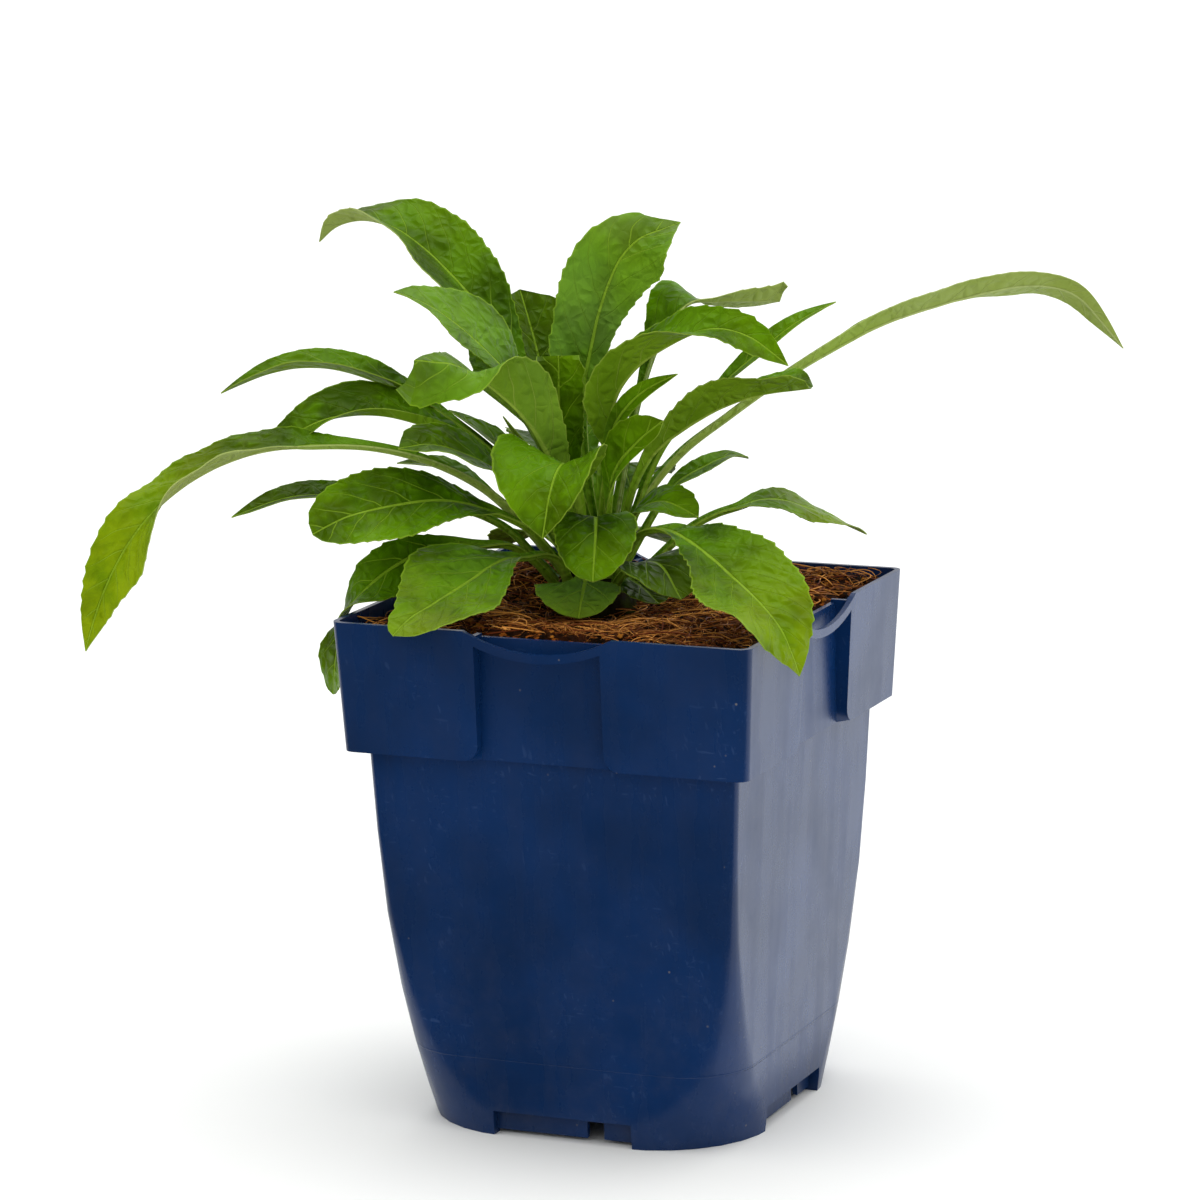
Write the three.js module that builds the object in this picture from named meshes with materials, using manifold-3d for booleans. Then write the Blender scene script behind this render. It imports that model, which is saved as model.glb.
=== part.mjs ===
// Potted bellflower: a leafy young plant in a square nursery pot.
// Millimetres, +Z up. The origin is the middle of the underside of the pot, on the surface it stands on.
// The leaves grow from a short crown, the crown sits in the soil, and the soil fills the pot. Nothing moves.
import * as THREE from "three";
import { mergeVertices } from "three/addons/utils/BufferGeometryUtils.js";
import Module from "manifold-3d";

const wasm = await Module();
wasm.setup();

// ---------- driving dimensions ----------

// the pot's outside: half the side of each level, measured across the flats
const rimHeight = 130;
const rimHalf = 55;
const collarHeight = 32.7;
const collarFootHalf = 53.25;
const bodyTopHalf = 48.9;
const footHalf = 44.2;
const sharpCorner = 3; // corner radius of the collar and of the upper body
const footCorner = 28.5; // corner radius where the pot stands
const cornerBlendHeight = 75; // above this height the body's corners are sharp
const wall = 1.3;

// the middle third of each side of the collar is set back, under a scalloped lip
const recessHalfWidth = 16.6;
const recessDepth = 4.4;
const lipThickness = 1.4;
const lipDip = 4.8;
const lipHalfChord = 19.5;
const lipHeight = 2.2;
const innerWallDrop = 2;

// the underside: corner feet, a notch in the middle of each side and a recessed skirt behind it
const notchHalfWidth = 18.5;
const notchHeight = 6.3;
const notchDepth = 2.6;
const skirtClearance = 1;
const slotLeft = 5.7;
const slotRight = 10.2;
const slotHeight = 5.2;
const floorThickness = 1.6;
const padRadius = 10;
const drainRadius = 4.5;
const drainCircle = 26;

// the soil and the crown that the leaves grow from
const soilLevel = 125;
const soilEdgeLevel = 124.4;
const soilFlatHalf = 34;
const gap = 0.3; // between pieces that rest in each other
const crownPlace = new THREE.Vector2(-9.5, 4.5);
const crownRadius = 11;
const crownRise = 1; // of the crown's middle over the soil

// ---------- small helpers ----------

const finish = (color, roughness) => new THREE.MeshStandardMaterial({ color, roughness, metalness: 0 });

/** A closed solid from rings of equal length, with both ends closed by fans. */
function loft(rings, startApex, endApex) {
  const count = rings[0].length;
  const points = [startApex, ...rings.flat(), endApex];
  const last = points.length - 1;
  const index = [];
  for (let i = 0; i < count; i++) {
    const j = (i + 1) % count;
    index.push(0, 1 + j, 1 + i);
    index.push(last, last - count + i, last - count + j);
    for (let k = 0; k < rings.length - 1; k++) {
      const low = 1 + k * count;
      const high = low + count;
      index.push(low + i, low + j, high + j, low + i, high + j, high + i);
    }
  }
  const geometry = new THREE.BufferGeometry();
  geometry.setAttribute("position", new THREE.Float32BufferAttribute(points.flatMap((p) => p.toArray()), 3));
  geometry.setIndex(index);
  return geometry;
}

/** The ring of a square with round corners, anticlockwise seen from above. */
function squareRing(half, corner, z, segments = 7) {
  const ring = [];
  for (let quarter = 0; quarter < 4; quarter++) {
    const middle = (quarter + 0.5) * (Math.PI / 2);
    const x = Math.SQRT2 * (half - corner) * Math.cos(middle);
    const y = Math.SQRT2 * (half - corner) * Math.sin(middle);
    for (let i = 0; i <= segments; i++) {
      const angle = (quarter + i / segments) * (Math.PI / 2);
      ring.push(new THREE.Vector3(x + corner * Math.cos(angle), y + corner * Math.sin(angle), z));
    }
  }
  return ring;
}

/** A solid between square rings; each level is [height, half side, corner radius]. */
function squareTower(levels) {
  const rings = levels.map(([z, half, corner]) => squareRing(half, corner, z));
  const [bottom, top] = [levels[0][0], levels.at(-1)[0]];
  return loft(rings, new THREE.Vector3(0, 0, bottom), new THREE.Vector3(0, 0, top));
}

/** A box given by its lowest and highest corner. */
function block(low, high) {
  const size = high.map((value, axis) => value - low[axis]);
  const geometry = new THREE.BoxGeometry(...size);
  return geometry.translate(...low.map((value, axis) => value + size[axis] / 2));
}

/** An upright cylinder between two heights. */
function post(radius, x, y, bottom, top, sides = 20) {
  const geometry = new THREE.CylinderGeometry(radius, radius, top - bottom, sides);
  return geometry.rotateX(Math.PI / 2).translate(x, y, (bottom + top) / 2);
}

function solid(geometry) {
  const bare = geometry.clone();
  bare.deleteAttribute("normal");
  bare.deleteAttribute("uv");
  const merged = mergeVertices(bare, 1e-4);
  return new wasm.Manifold(new wasm.Mesh({
    numProp: 3,
    vertProperties: new Float32Array(merged.attributes.position.array),
    triVerts: new Uint32Array(merged.index.array),
  }));
}

function geometryOf(body) {
  const mesh = body.getMesh();
  const geometry = new THREE.BufferGeometry();
  geometry.setAttribute("position", new THREE.BufferAttribute(new Float32Array(mesh.vertProperties), 3));
  geometry.setIndex(new THREE.BufferAttribute(new Uint32Array(mesh.triVerts), 1));
  return geometry;
}

/** A solid made for the side that faces -Y, joined with its copies on the other three sides. */
function onAllSides(body) {
  return [90, 180, 270].reduce((joined, turn) => joined.add(body.rotate([0, 0, turn])), body);
}

const part = new THREE.Group();

function addPiece(name, geometry, material) {
  const mesh = new THREE.Mesh(geometry, material);
  mesh.name = name;
  part.add(mesh);
}

// ---------- pot ----------

const collarFoot = rimHeight - collarHeight;
const floorTop = notchHeight + floorThickness;

/** Half the side of the pot's body at a height. */
const bodyHalf = (z) => footHalf + (bodyTopHalf - footHalf) * (z / collarFoot);

/** The body's corners are wide at the foot and close up to sharp ones above. */
function bodyCorner(z) {
  const left = Math.max(0, 1 - z / cornerBlendHeight);
  return sharpCorner + (footCorner - sharpCorner) * left * left;
}

const innerHeights = [20, 35, 55, 76];
const bodyHeights = [0, 8, ...innerHeights];

/** The levels of the pot's outside, moved inwards by inset. */
function bodyLevels(heights, inset) {
  return heights.map((z) => [z, bodyHalf(z) - inset, Math.max(bodyCorner(z) - inset, 1)]);
}

/** What is inside the pot, moved inwards by inset: the body's hollow and the wider one in the collar. */
function insideOfPot(inset, bottom, top) {
  const inBody = bodyLevels([bottom, ...innerHeights, collarFoot + wall], wall + inset);
  const shelf = collarFoot + wall + inset;
  const tower = squareTower([
    ...inBody.slice(0, -1),
    [shelf, bodyTopHalf - wall - inset, 2],
    [shelf, collarFootHalf - wall - inset, 2],
    [top, rimHalf - wall - inset, 2],
  ]);
  const wallFace = rimHalf - recessDepth - wall - inset;
  const side = recessHalfWidth + wall + inset;
  const bulge = onAllSides(solid(block([-side, -rimHalf, shelf - 1], [side, -wallFace, top + 1])));
  return solid(tower).subtract(bulge);
}

/** The hollow under the floor, without the four skirts behind the notches. */
function underside() {
  const hollow = squareTower([
    [-1, footHalf - wall, footCorner - wall],
    [notchHeight, bodyHalf(notchHeight) - wall, bodyCorner(notchHeight) - wall],
  ]);
  const skirtFace = footHalf - notchDepth;
  const skirtHalfWidth = notchHalfWidth + wall;
  const skirt = onAllSides(solid(block(
    [-skirtHalfWidth, -footHalf, -2],
    [skirtHalfWidth, -skirtFace + wall, notchHeight + 1],
  )));
  return solid(hollow).subtract(skirt).subtract(solid(post(padRadius, 0, 0, -2, notchHeight + 1)));
}

/** The notch in the foot, the clearance under the skirt and the drainage slot through it. */
function footCuts() {
  const skirtFace = footHalf - notchDepth;
  const notch = block([-notchHalfWidth, -rimHalf, -1], [notchHalfWidth, -skirtFace, notchHeight]);
  const clearance = block([-notchHalfWidth, -rimHalf, -1], [notchHalfWidth, -skirtFace + 3, skirtClearance]);
  const slot = block([slotLeft, -rimHalf, -1], [slotRight, -skirtFace + 3, slotHeight]);
  return onAllSides(solid(notch).add(solid(clearance)).add(solid(slot)));
}

/** A lying cylinder across the side that faces -Y, which cuts the arc of the lip. */
function lipArc(radius, centreHeight, near, far) {
  const cylinder = new THREE.CylinderGeometry(radius, radius, far - near, 72);
  return solid(cylinder.translate(0, -(near + far) / 2, centreHeight));
}

/** The set-back middle of the collar: the face under the lip, the pocket behind it and the dip over it. */
function collarCuts() {
  const arcRadius = (lipHalfChord ** 2 + lipDip ** 2) / (2 * lipDip);
  const arcHeight = rimHeight + arcRadius - lipDip;
  const outer = rimHalf + 2;
  const face = rimHalf - recessDepth;
  const lipBack = rimHalf - lipThickness;
  const tall = rimHeight + 2;
  const below = solid(block([-recessHalfWidth, -outer, collarFoot - 1], [recessHalfWidth, -face, tall]))
    .subtract(lipArc(arcRadius + lipHeight, arcHeight, face - 2, outer + 2));
  const pocket = solid(block([-recessHalfWidth, -lipBack, collarFoot + 20], [recessHalfWidth, -face, tall]));
  const dip = lipArc(arcRadius, arcHeight, lipBack - 0.2, outer);
  const innerTop = solid(block(
    [-recessHalfWidth, -face - 0.2, rimHeight - innerWallDrop],
    [recessHalfWidth, -face + 3, tall],
  ));
  return onAllSides(below.add(pocket).add(dip).add(innerTop));
}

function potBody() {
  const outside = squareTower([
    ...bodyLevels(bodyHeights, 0),
    [collarFoot, bodyTopHalf, sharpCorner],
    [collarFoot, collarFootHalf, sharpCorner],
    [rimHeight, rimHalf, sharpCorner],
  ]);
  let drains = solid(post(drainRadius, drainCircle, 0, 0, rimHeight, 12));
  for (const turn of [90, 180, 270]) {
    const angle = (turn * Math.PI) / 180;
    const [x, y] = [drainCircle * Math.cos(angle), drainCircle * Math.sin(angle)];
    drains = drains.add(solid(post(drainRadius, x, y, 0, rimHeight, 12)));
  }
  return solid(outside)
    .subtract(insideOfPot(0, floorTop, rimHeight + 1))
    .subtract(underside())
    .subtract(footCuts())
    .subtract(collarCuts())
    .subtract(drains);
}

addPiece("pot", geometryOf(potBody()), finish(0x14305c, 0.38));

// ---------- soil and crown ----------

const crownMiddle = new THREE.Vector3(crownPlace.x, crownPlace.y, soilLevel + crownRise);

function crownBall(radius) {
  return new THREE.SphereGeometry(radius, 18, 10).rotateX(Math.PI / 2).translate(...crownMiddle.toArray());
}

function soilBlock() {
  const filling = insideOfPot(gap, floorTop + gap, rimHeight);
  const lid = squareTower([
    [0, rimHalf, sharpCorner],
    [soilEdgeLevel, rimHalf, sharpCorner],
    [soilLevel, soilFlatHalf, sharpCorner],
  ]);
  return filling.intersect(solid(lid)).subtract(solid(crownBall(crownRadius + gap)));
}

addPiece("soil", geometryOf(soilBlock()), finish(0x4a2c18, 0.95));
addPiece("root_crown", crownBall(crownRadius), finish(0x5d6a2b, 0.8));

// ---------- leaves ----------

// How a blade widens along its length: where it is widest, how slowly it starts and how blunt it ends.
const forms = {
  lance: { widest: 0.55, start: 1.25, end: 0.85 },
  spoon: { widest: 0.6, start: 1.1, end: 0.6 },
  heart: { widest: 0.42, start: 0.6, end: 0.75 },
  blunt: { widest: 0.6, start: 1.1, end: 0.35 },
  round: { widest: 0.5, start: 0.6, end: 0.5 },
};

// Each leaf: the place on the crown that its stalk grows from, as a bearing and a rise in degrees; then the
// bearing that the leaf points to, anticlockwise from +X; then its spine as points [reach, height, side] in
// millimetres, where reach is out from the crown, height is over the soil and side is to the left of the way
// it points. Then the width of its blade, the share of its length that is stalk, its form, the angle that
// each half is folded up by, and the twist of its middle and of its tip in degrees.
const leaves = [
  ["left_long", [207, 48], 217, [[24.5, 29.5], [39.5, 39], [54.5, 44], [70, 45.5], [87, 44.5], [103, 38],
    [115, 27.5], [124.5, 12], [129.5, -2.5]], 19, 0.4, "lance", 22, 6, -64],
  ["upper_left_curled", [148, 80], 172, [[12.5, 46], [23, 63.5], [37.5, 78.5], [51, 89.5], [61.5, 94.5],
    [73, 94.5], [81, 89]], 29, 0.36, "lance", 26, -14, 4],
  ["upper_left_front", [192, 80], 208, [[12, 47, -2], [23, 61, -1], [34.5, 72], [43, 77.5], [51, 80.5]],
    15.5, 0.4, "lance", 18, -20, -10],
  ["left_arching", [172, 63], 197, [[20, 34.5], [29, 43.5], [40.5, 51.5], [53.5, 58.5], [69, 62.5], [82, 60.5],
    [94, 55]], 15, 0.36, "lance", 26, -4, -10],
  ["left_under", [200, 63], 210, [[18, 31], [28, 41], [40.5, 49.5], [52.5, 53.5], [64.5, 53], [74.5, 48.5],
    [83.5, 43]], 16, 0.36, "lance", 14, -26, -38],
  ["left_folded", [262, 66], 243, [[13, 37.5], [20, 49], [25.5, 54.5], [31.5, 59.5], [38.5, 62], [46, 62.5],
    [53.5, 58]], 27, 0.22, "round", 38, 32, -50],
  ["left_short", [230, 60], 230, [[15.5, 27.5], [26, 35.5], [35, 40], [44.5, 43.5], [53.5, 43.5]],
    19, 0.36, "spoon", 14, -24, -20],
  ["left_spoon", [228, 46], 226, [[17, 21.5], [31, 28.5], [41, 31], [51, 31], [66, 29], [75, 25.5]],
    23, 0.3, "spoon", 8, -38, -40],
  ["left_far_small", [188, 32], 198, [[24, 22], [41, 27], [62, 29], [77, 28.5], [92, 23.5]],
    12, 0.42, "lance", 18, -8, -24],
  ["left_drooping", [214, 30], 221, [[20, 17], [30.5, 18.5], [41, 18.5], [50.5, 15.5], [58.5, 10.5],
    [64.5, 4.5], [67.5, -4.5], [69, -16.5]], 15, 0.3, "spoon", 8, 8, 25],
  ["front_left_spoon", [249, 34], 248.5, [[14, 15.5], [22, 16.5], [32.5, 17], [44, 13.5], [57, 9.5], [65, 7],
    [70, 4]], 25, 0.3, "spoon", 10, -20, -12],
  ["front_heart", [274, 52], 275, [[13, 32], [20, 40], [27, 40.5], [34, 36], [40.5, 26.5]],
    25, 0.42, "heart", 26, 0, 0],
  ["front_low_heart", [297, 48], 290, [[11, 22], [17, 26.5], [24, 24], [31, 19.5], [37, 14]],
    22, 0.36, "round", 10, 0, 0],
  ["front_bottom", [284, 28], 285, [[14, 11], [21, 8], [29.5, 1.6]], 18.5, 0.3, "spoon", 6, 0, 0],
  ["right_front_big", [330, 32], 324.5, [[15, 17], [26.5, 24], [40.5, 25, 1.5], [58.5, 20.5, 4], [73, 13.5, 5],
    [82, 6.5, 4.5], [85, -3.5, 5]], 21, 0.28, "lance", 10, 16, -6],
  ["right_short", [340, 46], 350, [[11, 24], [20, 29], [31, 26]], 13, 0.26, "spoon", 12, 22, 20],
  ["right_dark", [316, 26], 326, [[17, 13], [26, 14], [35, 7]], 18, 0.28, "spoon", 10, 6, 0],
  ["right_droop", [34, 30], 42, [[28, 20], [38, 23], [48, 24.5], [61, 20], [74, 13.5]],
    14, 0.42, "lance", 16, 8, -14],
  ["right_small", [54, 46], 46, [[21.5, 29], [30, 33.5], [38, 36], [43, 35]], 11, 0.4, "lance", 14, -20, -24],
  ["right_long", [48, 63], 40, [[17, 33], [29, 42], [43, 51.5], [56, 58.5], [73, 66.5], [92, 71.5], [110, 73.5],
    [126, 70.5], [143, 57.5]], 12, 0.36, "lance", 18, -44, -42],
  ["top_big", [86, 80], 110, [[8, 48, 3], [12, 66, -1], [15, 79, -5], [17, 90, -11], [22, 95, -22]],
    27, 0.38, "lance", 14, 0, -14],
  ["top_dark", [126, 66], 142, [[14, 33], [21, 46], [29, 63.5], [37, 77]], 24, 0.4, "blunt", 12, 0, 0],
  ["upper_right_bent", [8, 80], 2, [[4, 38], [7, 50], [13, 59.5], [22, 65.5], [31, 68.5], [41, 68], [52, 62]],
    20, 0.26, "lance", 40, -4, 26],
  ["upper_right_back", [76, 64], 50, [[13, 52], [19, 66], [27, 75], [39, 75], [54, 74]],
    13, 0.42, "lance", 16, -8, -50],
  ["right_slim", [26, 60], 36, [[18, 40.5], [31.5, 53.5], [42, 62], [53, 70], [63.5, 75]],
    11, 0.5, "lance", 16, 15, 10],
  ["right_blunt", [352, 64], 12, [[13, 37], [26, 48], [40, 54.5], [55.5, 57]], 18, 0.3, "blunt", 28, -30, -6],
  ["right_tiny", [316, 82], 14, [[6, 45.5, -5.5], [13, 54.5, -6], [22.5, 60, -5.5]],
    7.5, 0.42, "lance", 14, 10, 10],
  ["right_inner", [324, 46], 332, [[10, 34, -4], [15, 43, -4], [20, 49, -3.5]], 11, 0.34, "spoon", 12, 45, 40],
  ["centre_upright", [250, 84], 112, [[-1, 37, 3.5], [-2, 51, 5.5], [-4, 65, 6]], 13, 0.34, "blunt", 18, 0, 0],
  ["left_inner_small", [212, 68], 220, [[14, 37], [18, 42.5], [21, 47], [23, 50.5]], 6, 0.5, "lance", 14, 0, 0],
  ["left_inner_dark", [158, 52], 190, [[18, 35], [28, 44], [37, 50]], 12, 0.4, "lance", 14, 0, 0],
  ["upper_left_pale", [158, 66], 173, [[15.5, 44.5], [25.5, 57.5], [35.5, 65]], 9, 0.5, "lance", 14, -20, -40],
  ["left_low_pale", [178, 48], 186, [[25, 27], [40, 35], [52, 35.5]], 10, 0.45, "lance", 14, 0, -10],
  ["back_left_low", [142, 28], 142, [[20, 14], [33, 14.5], [47, 9]], 19, 0.34, "spoon", 12, 0, 0],
  ["back_left_mid", [134, 48], 137, [[17, 33], [31, 40], [46, 36]], 19, 0.36, "lance", 14, 0, 0],
  ["back_low", [114, 28], 114, [[22, 13], [37, 11.5], [50, 4]], 19, 0.32, "spoon", 10, 0, 0],
  ["back_mid", [108, 48], 108, [[16, 30], [30, 36], [45, 31]], 19, 0.36, "lance", 14, 0, 0],
  ["back_right_low", [88, 30], 90, [[22, 15], [36, 14], [50, 8]], 18, 0.34, "spoon", 10, 0, 0],
  ["back_right_mid", [76, 50], 78, [[15, 27], [25, 32], [35, 29.5]], 13, 0.38, "lance", 14, 0, 0],
  ["back_left_tall", [132, 74], 120, [[14, 34], [28, 45], [42, 51]], 15, 0.4, "lance", 14, 0, 0],
];

const stations = 12; // sections along a leaf
const tipCrowding = 1.2; // over 1 sets the sections closer together towards the tip
const seatGap = 0.45; // between a stalk's end and the crown
const petioleHalf = 0.8;
const middleThickness = 1;
const edgeThickness = 0.5;
const tipThinning = 0.45; // share of the thickness that is gone at the tip
const degrees = Math.PI / 180;

/** Half the width at a place along the leaf, from 0 at the crown to 1 at the tip. */
function halfWidth(place, width, stalk, form) {
  const { widest, start, end } = forms[form];
  const along = (place - stalk) / (1 - stalk);
  if (along <= 0) return petioleHalf;
  const rising = Math.sin((Math.PI / 2) * Math.min(1, along / widest)) ** start;
  const closing = Math.cos((Math.PI / 2) * Math.max(0, (along - widest) / (1 - widest))) ** end;
  return Math.max(petioleHalf * (1 - place * place), (width / 2) * rising * closing);
}

/** The spine runs from the leaf's seat on the crown through its listed points, as a smooth curve. */
function spineOf([seatBearing, seatRise], bearing, points) {
  const out = new THREE.Vector3(Math.cos(bearing * degrees), Math.sin(bearing * degrees), 0);
  const left = new THREE.Vector3(-out.y, out.x, 0);
  const flat = (crownRadius + seatGap) * Math.cos(seatRise * degrees);
  const seat = new THREE.Vector3(
    crownMiddle.x + flat * Math.cos(seatBearing * degrees),
    crownMiddle.y + flat * Math.sin(seatBearing * degrees),
    crownMiddle.z + (crownRadius + seatGap) * Math.sin(seatRise * degrees),
  );
  const places = points.map(([reach, height, side = 0]) =>
    new THREE.Vector3(crownPlace.x, crownPlace.y, soilLevel + height)
      .addScaledVector(out, reach).addScaledVector(left, side));
  return { curve: new THREE.CatmullRomCurve3([seat, ...places], false, "centripetal"), left };
}

/** The six corners of a leaf's section: a folded plate, thickest in the middle. */
function section(centre, across, up, half, fold, thin) {
  const rise = Math.sin(fold * degrees) * half;
  const reach = Math.cos(fold * degrees) * half;
  const at = (sideways, upwards) =>
    centre.clone().addScaledVector(across, sideways).addScaledVector(up, upwards);
  const middle = (middleThickness * thin) / 2;
  const edge = (edgeThickness * thin) / 2;
  return [
    at(0, -middle), at(reach, rise - edge), at(reach, rise + edge),
    at(0, middle), at(-reach, rise + edge), at(-reach, rise - edge),
  ];
}

/** The twist at a place along the leaf: even up to the middle of the blade, then settling at the tip's. */
function twistAt(place, stalk, middleTwist, tipTwist) {
  const bladeMiddle = (1 + stalk) / 2;
  if (place < bladeMiddle) return middleTwist * (place / bladeMiddle);
  const beyond = (place - bladeMiddle) / (1 - bladeMiddle);
  return middleTwist + (tipTwist - middleTwist) * Math.sin((Math.PI / 2) * beyond);
}

/** A leaf lofted from its sections, closed at the seat and at the tip. */
function leafGeometry(seat, bearing, points, width, stalk, form, fold, middleTwist, tipTwist) {
  const { curve, left } = spineOf(seat, bearing, points);
  const rings = [];
  for (let k = 0; k < stations; k++) {
    const place = 1 - (1 - k / stations) ** tipCrowding;
    const centre = curve.getPointAt(place);
    const along = curve.getTangentAt(place);
    const level = left.clone().addScaledVector(along, -left.dot(along)).normalize();
    const across = level.applyAxisAngle(along, twistAt(place, stalk, middleTwist, tipTwist) * degrees);
    const up = along.clone().cross(across);
    const thin = 1 - tipThinning * place;
    rings.push(section(centre, across, up, halfWidth(place, width, stalk, form), fold, thin));
  }
  return loft(rings, curve.getPointAt(0), curve.getPointAt(1));
}

const leafGreens = [0x4c7a14, 0x55851c, 0x436d12, 0x5f9020];
leaves.forEach(([name, ...shape], order) => {
  const color = leafGreens[order % leafGreens.length];
  addPiece(`leaf_${name}`, leafGeometry(...shape), finish(color, 0.5));
});

export default part;
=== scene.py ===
# %% [markdown]
# # A bellflower in a square nursery pot
# The real thing is a thin moulded pot, filled with coir and peat, and a young plant whose leaves all rise
# from one crown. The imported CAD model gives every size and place: here it becomes the thing as it looks.
# Lengths are written in millimetres and turned to metres where a mesh is made.

import math
import random

import bmesh
import bpy
import numpy as np
from mathutils import Matrix, Vector, noise


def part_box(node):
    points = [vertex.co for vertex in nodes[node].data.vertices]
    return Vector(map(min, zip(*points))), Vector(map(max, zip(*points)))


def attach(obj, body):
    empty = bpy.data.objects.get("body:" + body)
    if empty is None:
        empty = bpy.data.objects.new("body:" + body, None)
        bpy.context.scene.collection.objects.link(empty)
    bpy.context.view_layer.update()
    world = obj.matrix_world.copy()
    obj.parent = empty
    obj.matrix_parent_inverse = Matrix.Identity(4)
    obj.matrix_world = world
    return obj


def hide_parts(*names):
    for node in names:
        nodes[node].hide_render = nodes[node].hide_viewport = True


MM = 0.001
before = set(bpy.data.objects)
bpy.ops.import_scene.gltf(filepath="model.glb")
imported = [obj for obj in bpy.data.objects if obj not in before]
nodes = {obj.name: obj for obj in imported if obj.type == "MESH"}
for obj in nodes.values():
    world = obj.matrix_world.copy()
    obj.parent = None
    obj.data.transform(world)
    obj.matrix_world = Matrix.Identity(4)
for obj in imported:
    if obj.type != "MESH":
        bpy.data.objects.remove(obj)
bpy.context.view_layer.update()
leaf_names = sorted(name for name in nodes if name.startswith("leaf_"))

# %% [markdown]
# ## Small helpers
# An operator acts on all that is selected, so every step first selects one piece and nothing else. A node
# tree is long to write by hand, so one helper adds a node and fills its inputs.


# %% Selection and mesh helpers
def only(piece):
    """Selects one piece and nothing else."""
    bpy.ops.object.select_all(action="DESELECT")
    piece.select_set(True)
    bpy.context.view_layer.objects.active = piece


def copy_of(piece, name):
    """A copy of a piece with a mesh of its own."""
    copy = bpy.data.objects.new(name, piece.data.copy())
    bpy.context.scene.collection.objects.link(copy)
    return copy


def join(pieces, name):
    """Joins pieces into the first of them."""
    bpy.ops.object.select_all(action="DESELECT")
    for piece in pieces:
        piece.select_set(True)
    bpy.context.view_layer.objects.active = pieces[0]
    bpy.ops.object.join()
    whole = bpy.context.active_object
    whole.name = name
    only(whole)
    return whole


def edit_chosen(piece, kind, chosen):
    """Opens a piece in edit mode with only its chosen vertices or edges selected, and counts them."""
    only(piece)
    bpy.ops.object.mode_set(mode="EDIT")
    bpy.ops.mesh.select_mode(type=kind)
    bpy.ops.mesh.select_all(action="DESELECT")
    bpy.ops.object.mode_set(mode="OBJECT")
    parts = piece.data.edges if kind == "EDGE" else piece.data.vertices
    for part in parts:
        part.select = bool(chosen(part))
    count = sum(part.select for part in parts)
    bpy.ops.object.mode_set(mode="EDIT")
    return count


def apply_modifiers(piece):
    """Applies all of a piece's modifiers and leaves it selected."""
    only(piece)
    for modifier in list(piece.modifiers):
        bpy.ops.object.modifier_apply(modifier=modifier.name)


def corners(piece):
    """The vertices of a piece in millimetres, one row each."""
    flat = np.empty(len(piece.data.vertices) * 3)
    piece.data.vertices.foreach_get("co", flat)
    return flat.reshape(-1, 3) / MM


def set_corners(piece, places):
    """Puts the vertices of a piece at new places, in millimetres."""
    piece.data.vertices.foreach_set("co", (np.asarray(places) * MM).ravel())
    piece.data.update()


def mark(piece, name, values):
    """Gives a piece a number at each vertex, which its material can read."""
    attribute = piece.data.attributes.new(name, "FLOAT", "POINT")
    attribute.data.foreach_set("value", np.asarray(values, dtype=np.float32).ravel())


def triangles(piece):
    """How many triangles a piece has."""
    return sum(len(face.vertices) - 2 for face in piece.data.polygons)


def turned_round(angle):
    """The matrix of a turn about the upright axis."""
    c, s = math.cos(angle), math.sin(angle)
    return np.array([[c, -s, 0], [s, c, 0], [0, 0, 1]])


# %% Node helpers
def colour(code):
    """A colour written as six hex digits, as the linear values that nodes use."""
    parts = [int(code[k : k + 2], 16) / 255 for k in (0, 2, 4)]
    linear = [c / 12.92 if c <= 0.04045 else ((c + 0.055) / 1.055) ** 2.4 for c in parts]
    return (*linear, 1.0)


def fill(tree, socket, value):
    """Links a socket to another, or sets it to a value."""
    if isinstance(value, bpy.types.NodeSocket):
        tree.links.new(value, socket)
    else:
        socket.default_value = value


def add(tree, kind, inputs=None, **settings):
    """Adds a shader node, sets its settings and fills its inputs with values or links."""
    new = tree.nodes.new("ShaderNode" + kind)
    for name, value in settings.items():
        setattr(new, name, value)
    for name, value in (inputs or {}).items():
        fill(tree, new.inputs[name], value)
    return new


def maths(tree, operation, *values, clamp=False):
    """One Math node on its values."""
    new = add(tree, "Math", operation=operation, use_clamp=clamp)
    for socket, value in zip(new.inputs, values):
        fill(tree, socket, value)
    return new.outputs[0]


def ramp(tree, value, low, high, start=0.0, end=1.0):
    """Start below low, end above high, and a smooth change between them."""
    inputs = {"Value": value, "From Min": low, "From Max": high, "To Min": start, "To Max": end}
    return add(tree, "MapRange", inputs, interpolation_type="SMOOTHSTEP").outputs["Result"]


def blend(tree, factor, first, second, kind="MIX"):
    """The first colour where the factor is 0, the second where it is 1."""
    new = add(tree, "Mix", data_type="RGBA", blend_type=kind)
    for socket, value in zip((new.inputs[0], new.inputs[6], new.inputs[7]), (factor, first, second)):
        fill(tree, socket, value)
    return new.outputs[2]


def read(tree, name):
    """A number that the mesh carries at its vertices."""
    return add(tree, "Attribute", attribute_name=name).outputs["Fac"]


def cloud(tree, vector, scale, detail=4.0, rough=0.55):
    """Noise, whose scale is how many blots there are to a metre, or to a millimetre on a leaf."""
    inputs = {"Vector": vector, "Scale": scale, "Detail": detail, "Roughness": rough}
    return add(tree, "TexNoise", inputs).outputs["Fac"]


def patches(tree, vector, scale, detail, low, high, start=0.0, end=1.0, rough=0.55):
    """A cloud sharpened into patches: start where it is below low, end where it is above high."""
    return ramp(tree, cloud(tree, vector, scale, detail, rough), low, high, start, end)


def bump(tree, height, distance, strength=1.0, normal=None):
    """A normal raised by height; the distance is in millimetres."""
    new = add(tree, "Bump", {"Height": height, "Distance": distance * MM, "Strength": strength})
    if normal is not None:
        tree.links.new(normal, new.inputs["Normal"])
    return new.outputs["Normal"]


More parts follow.
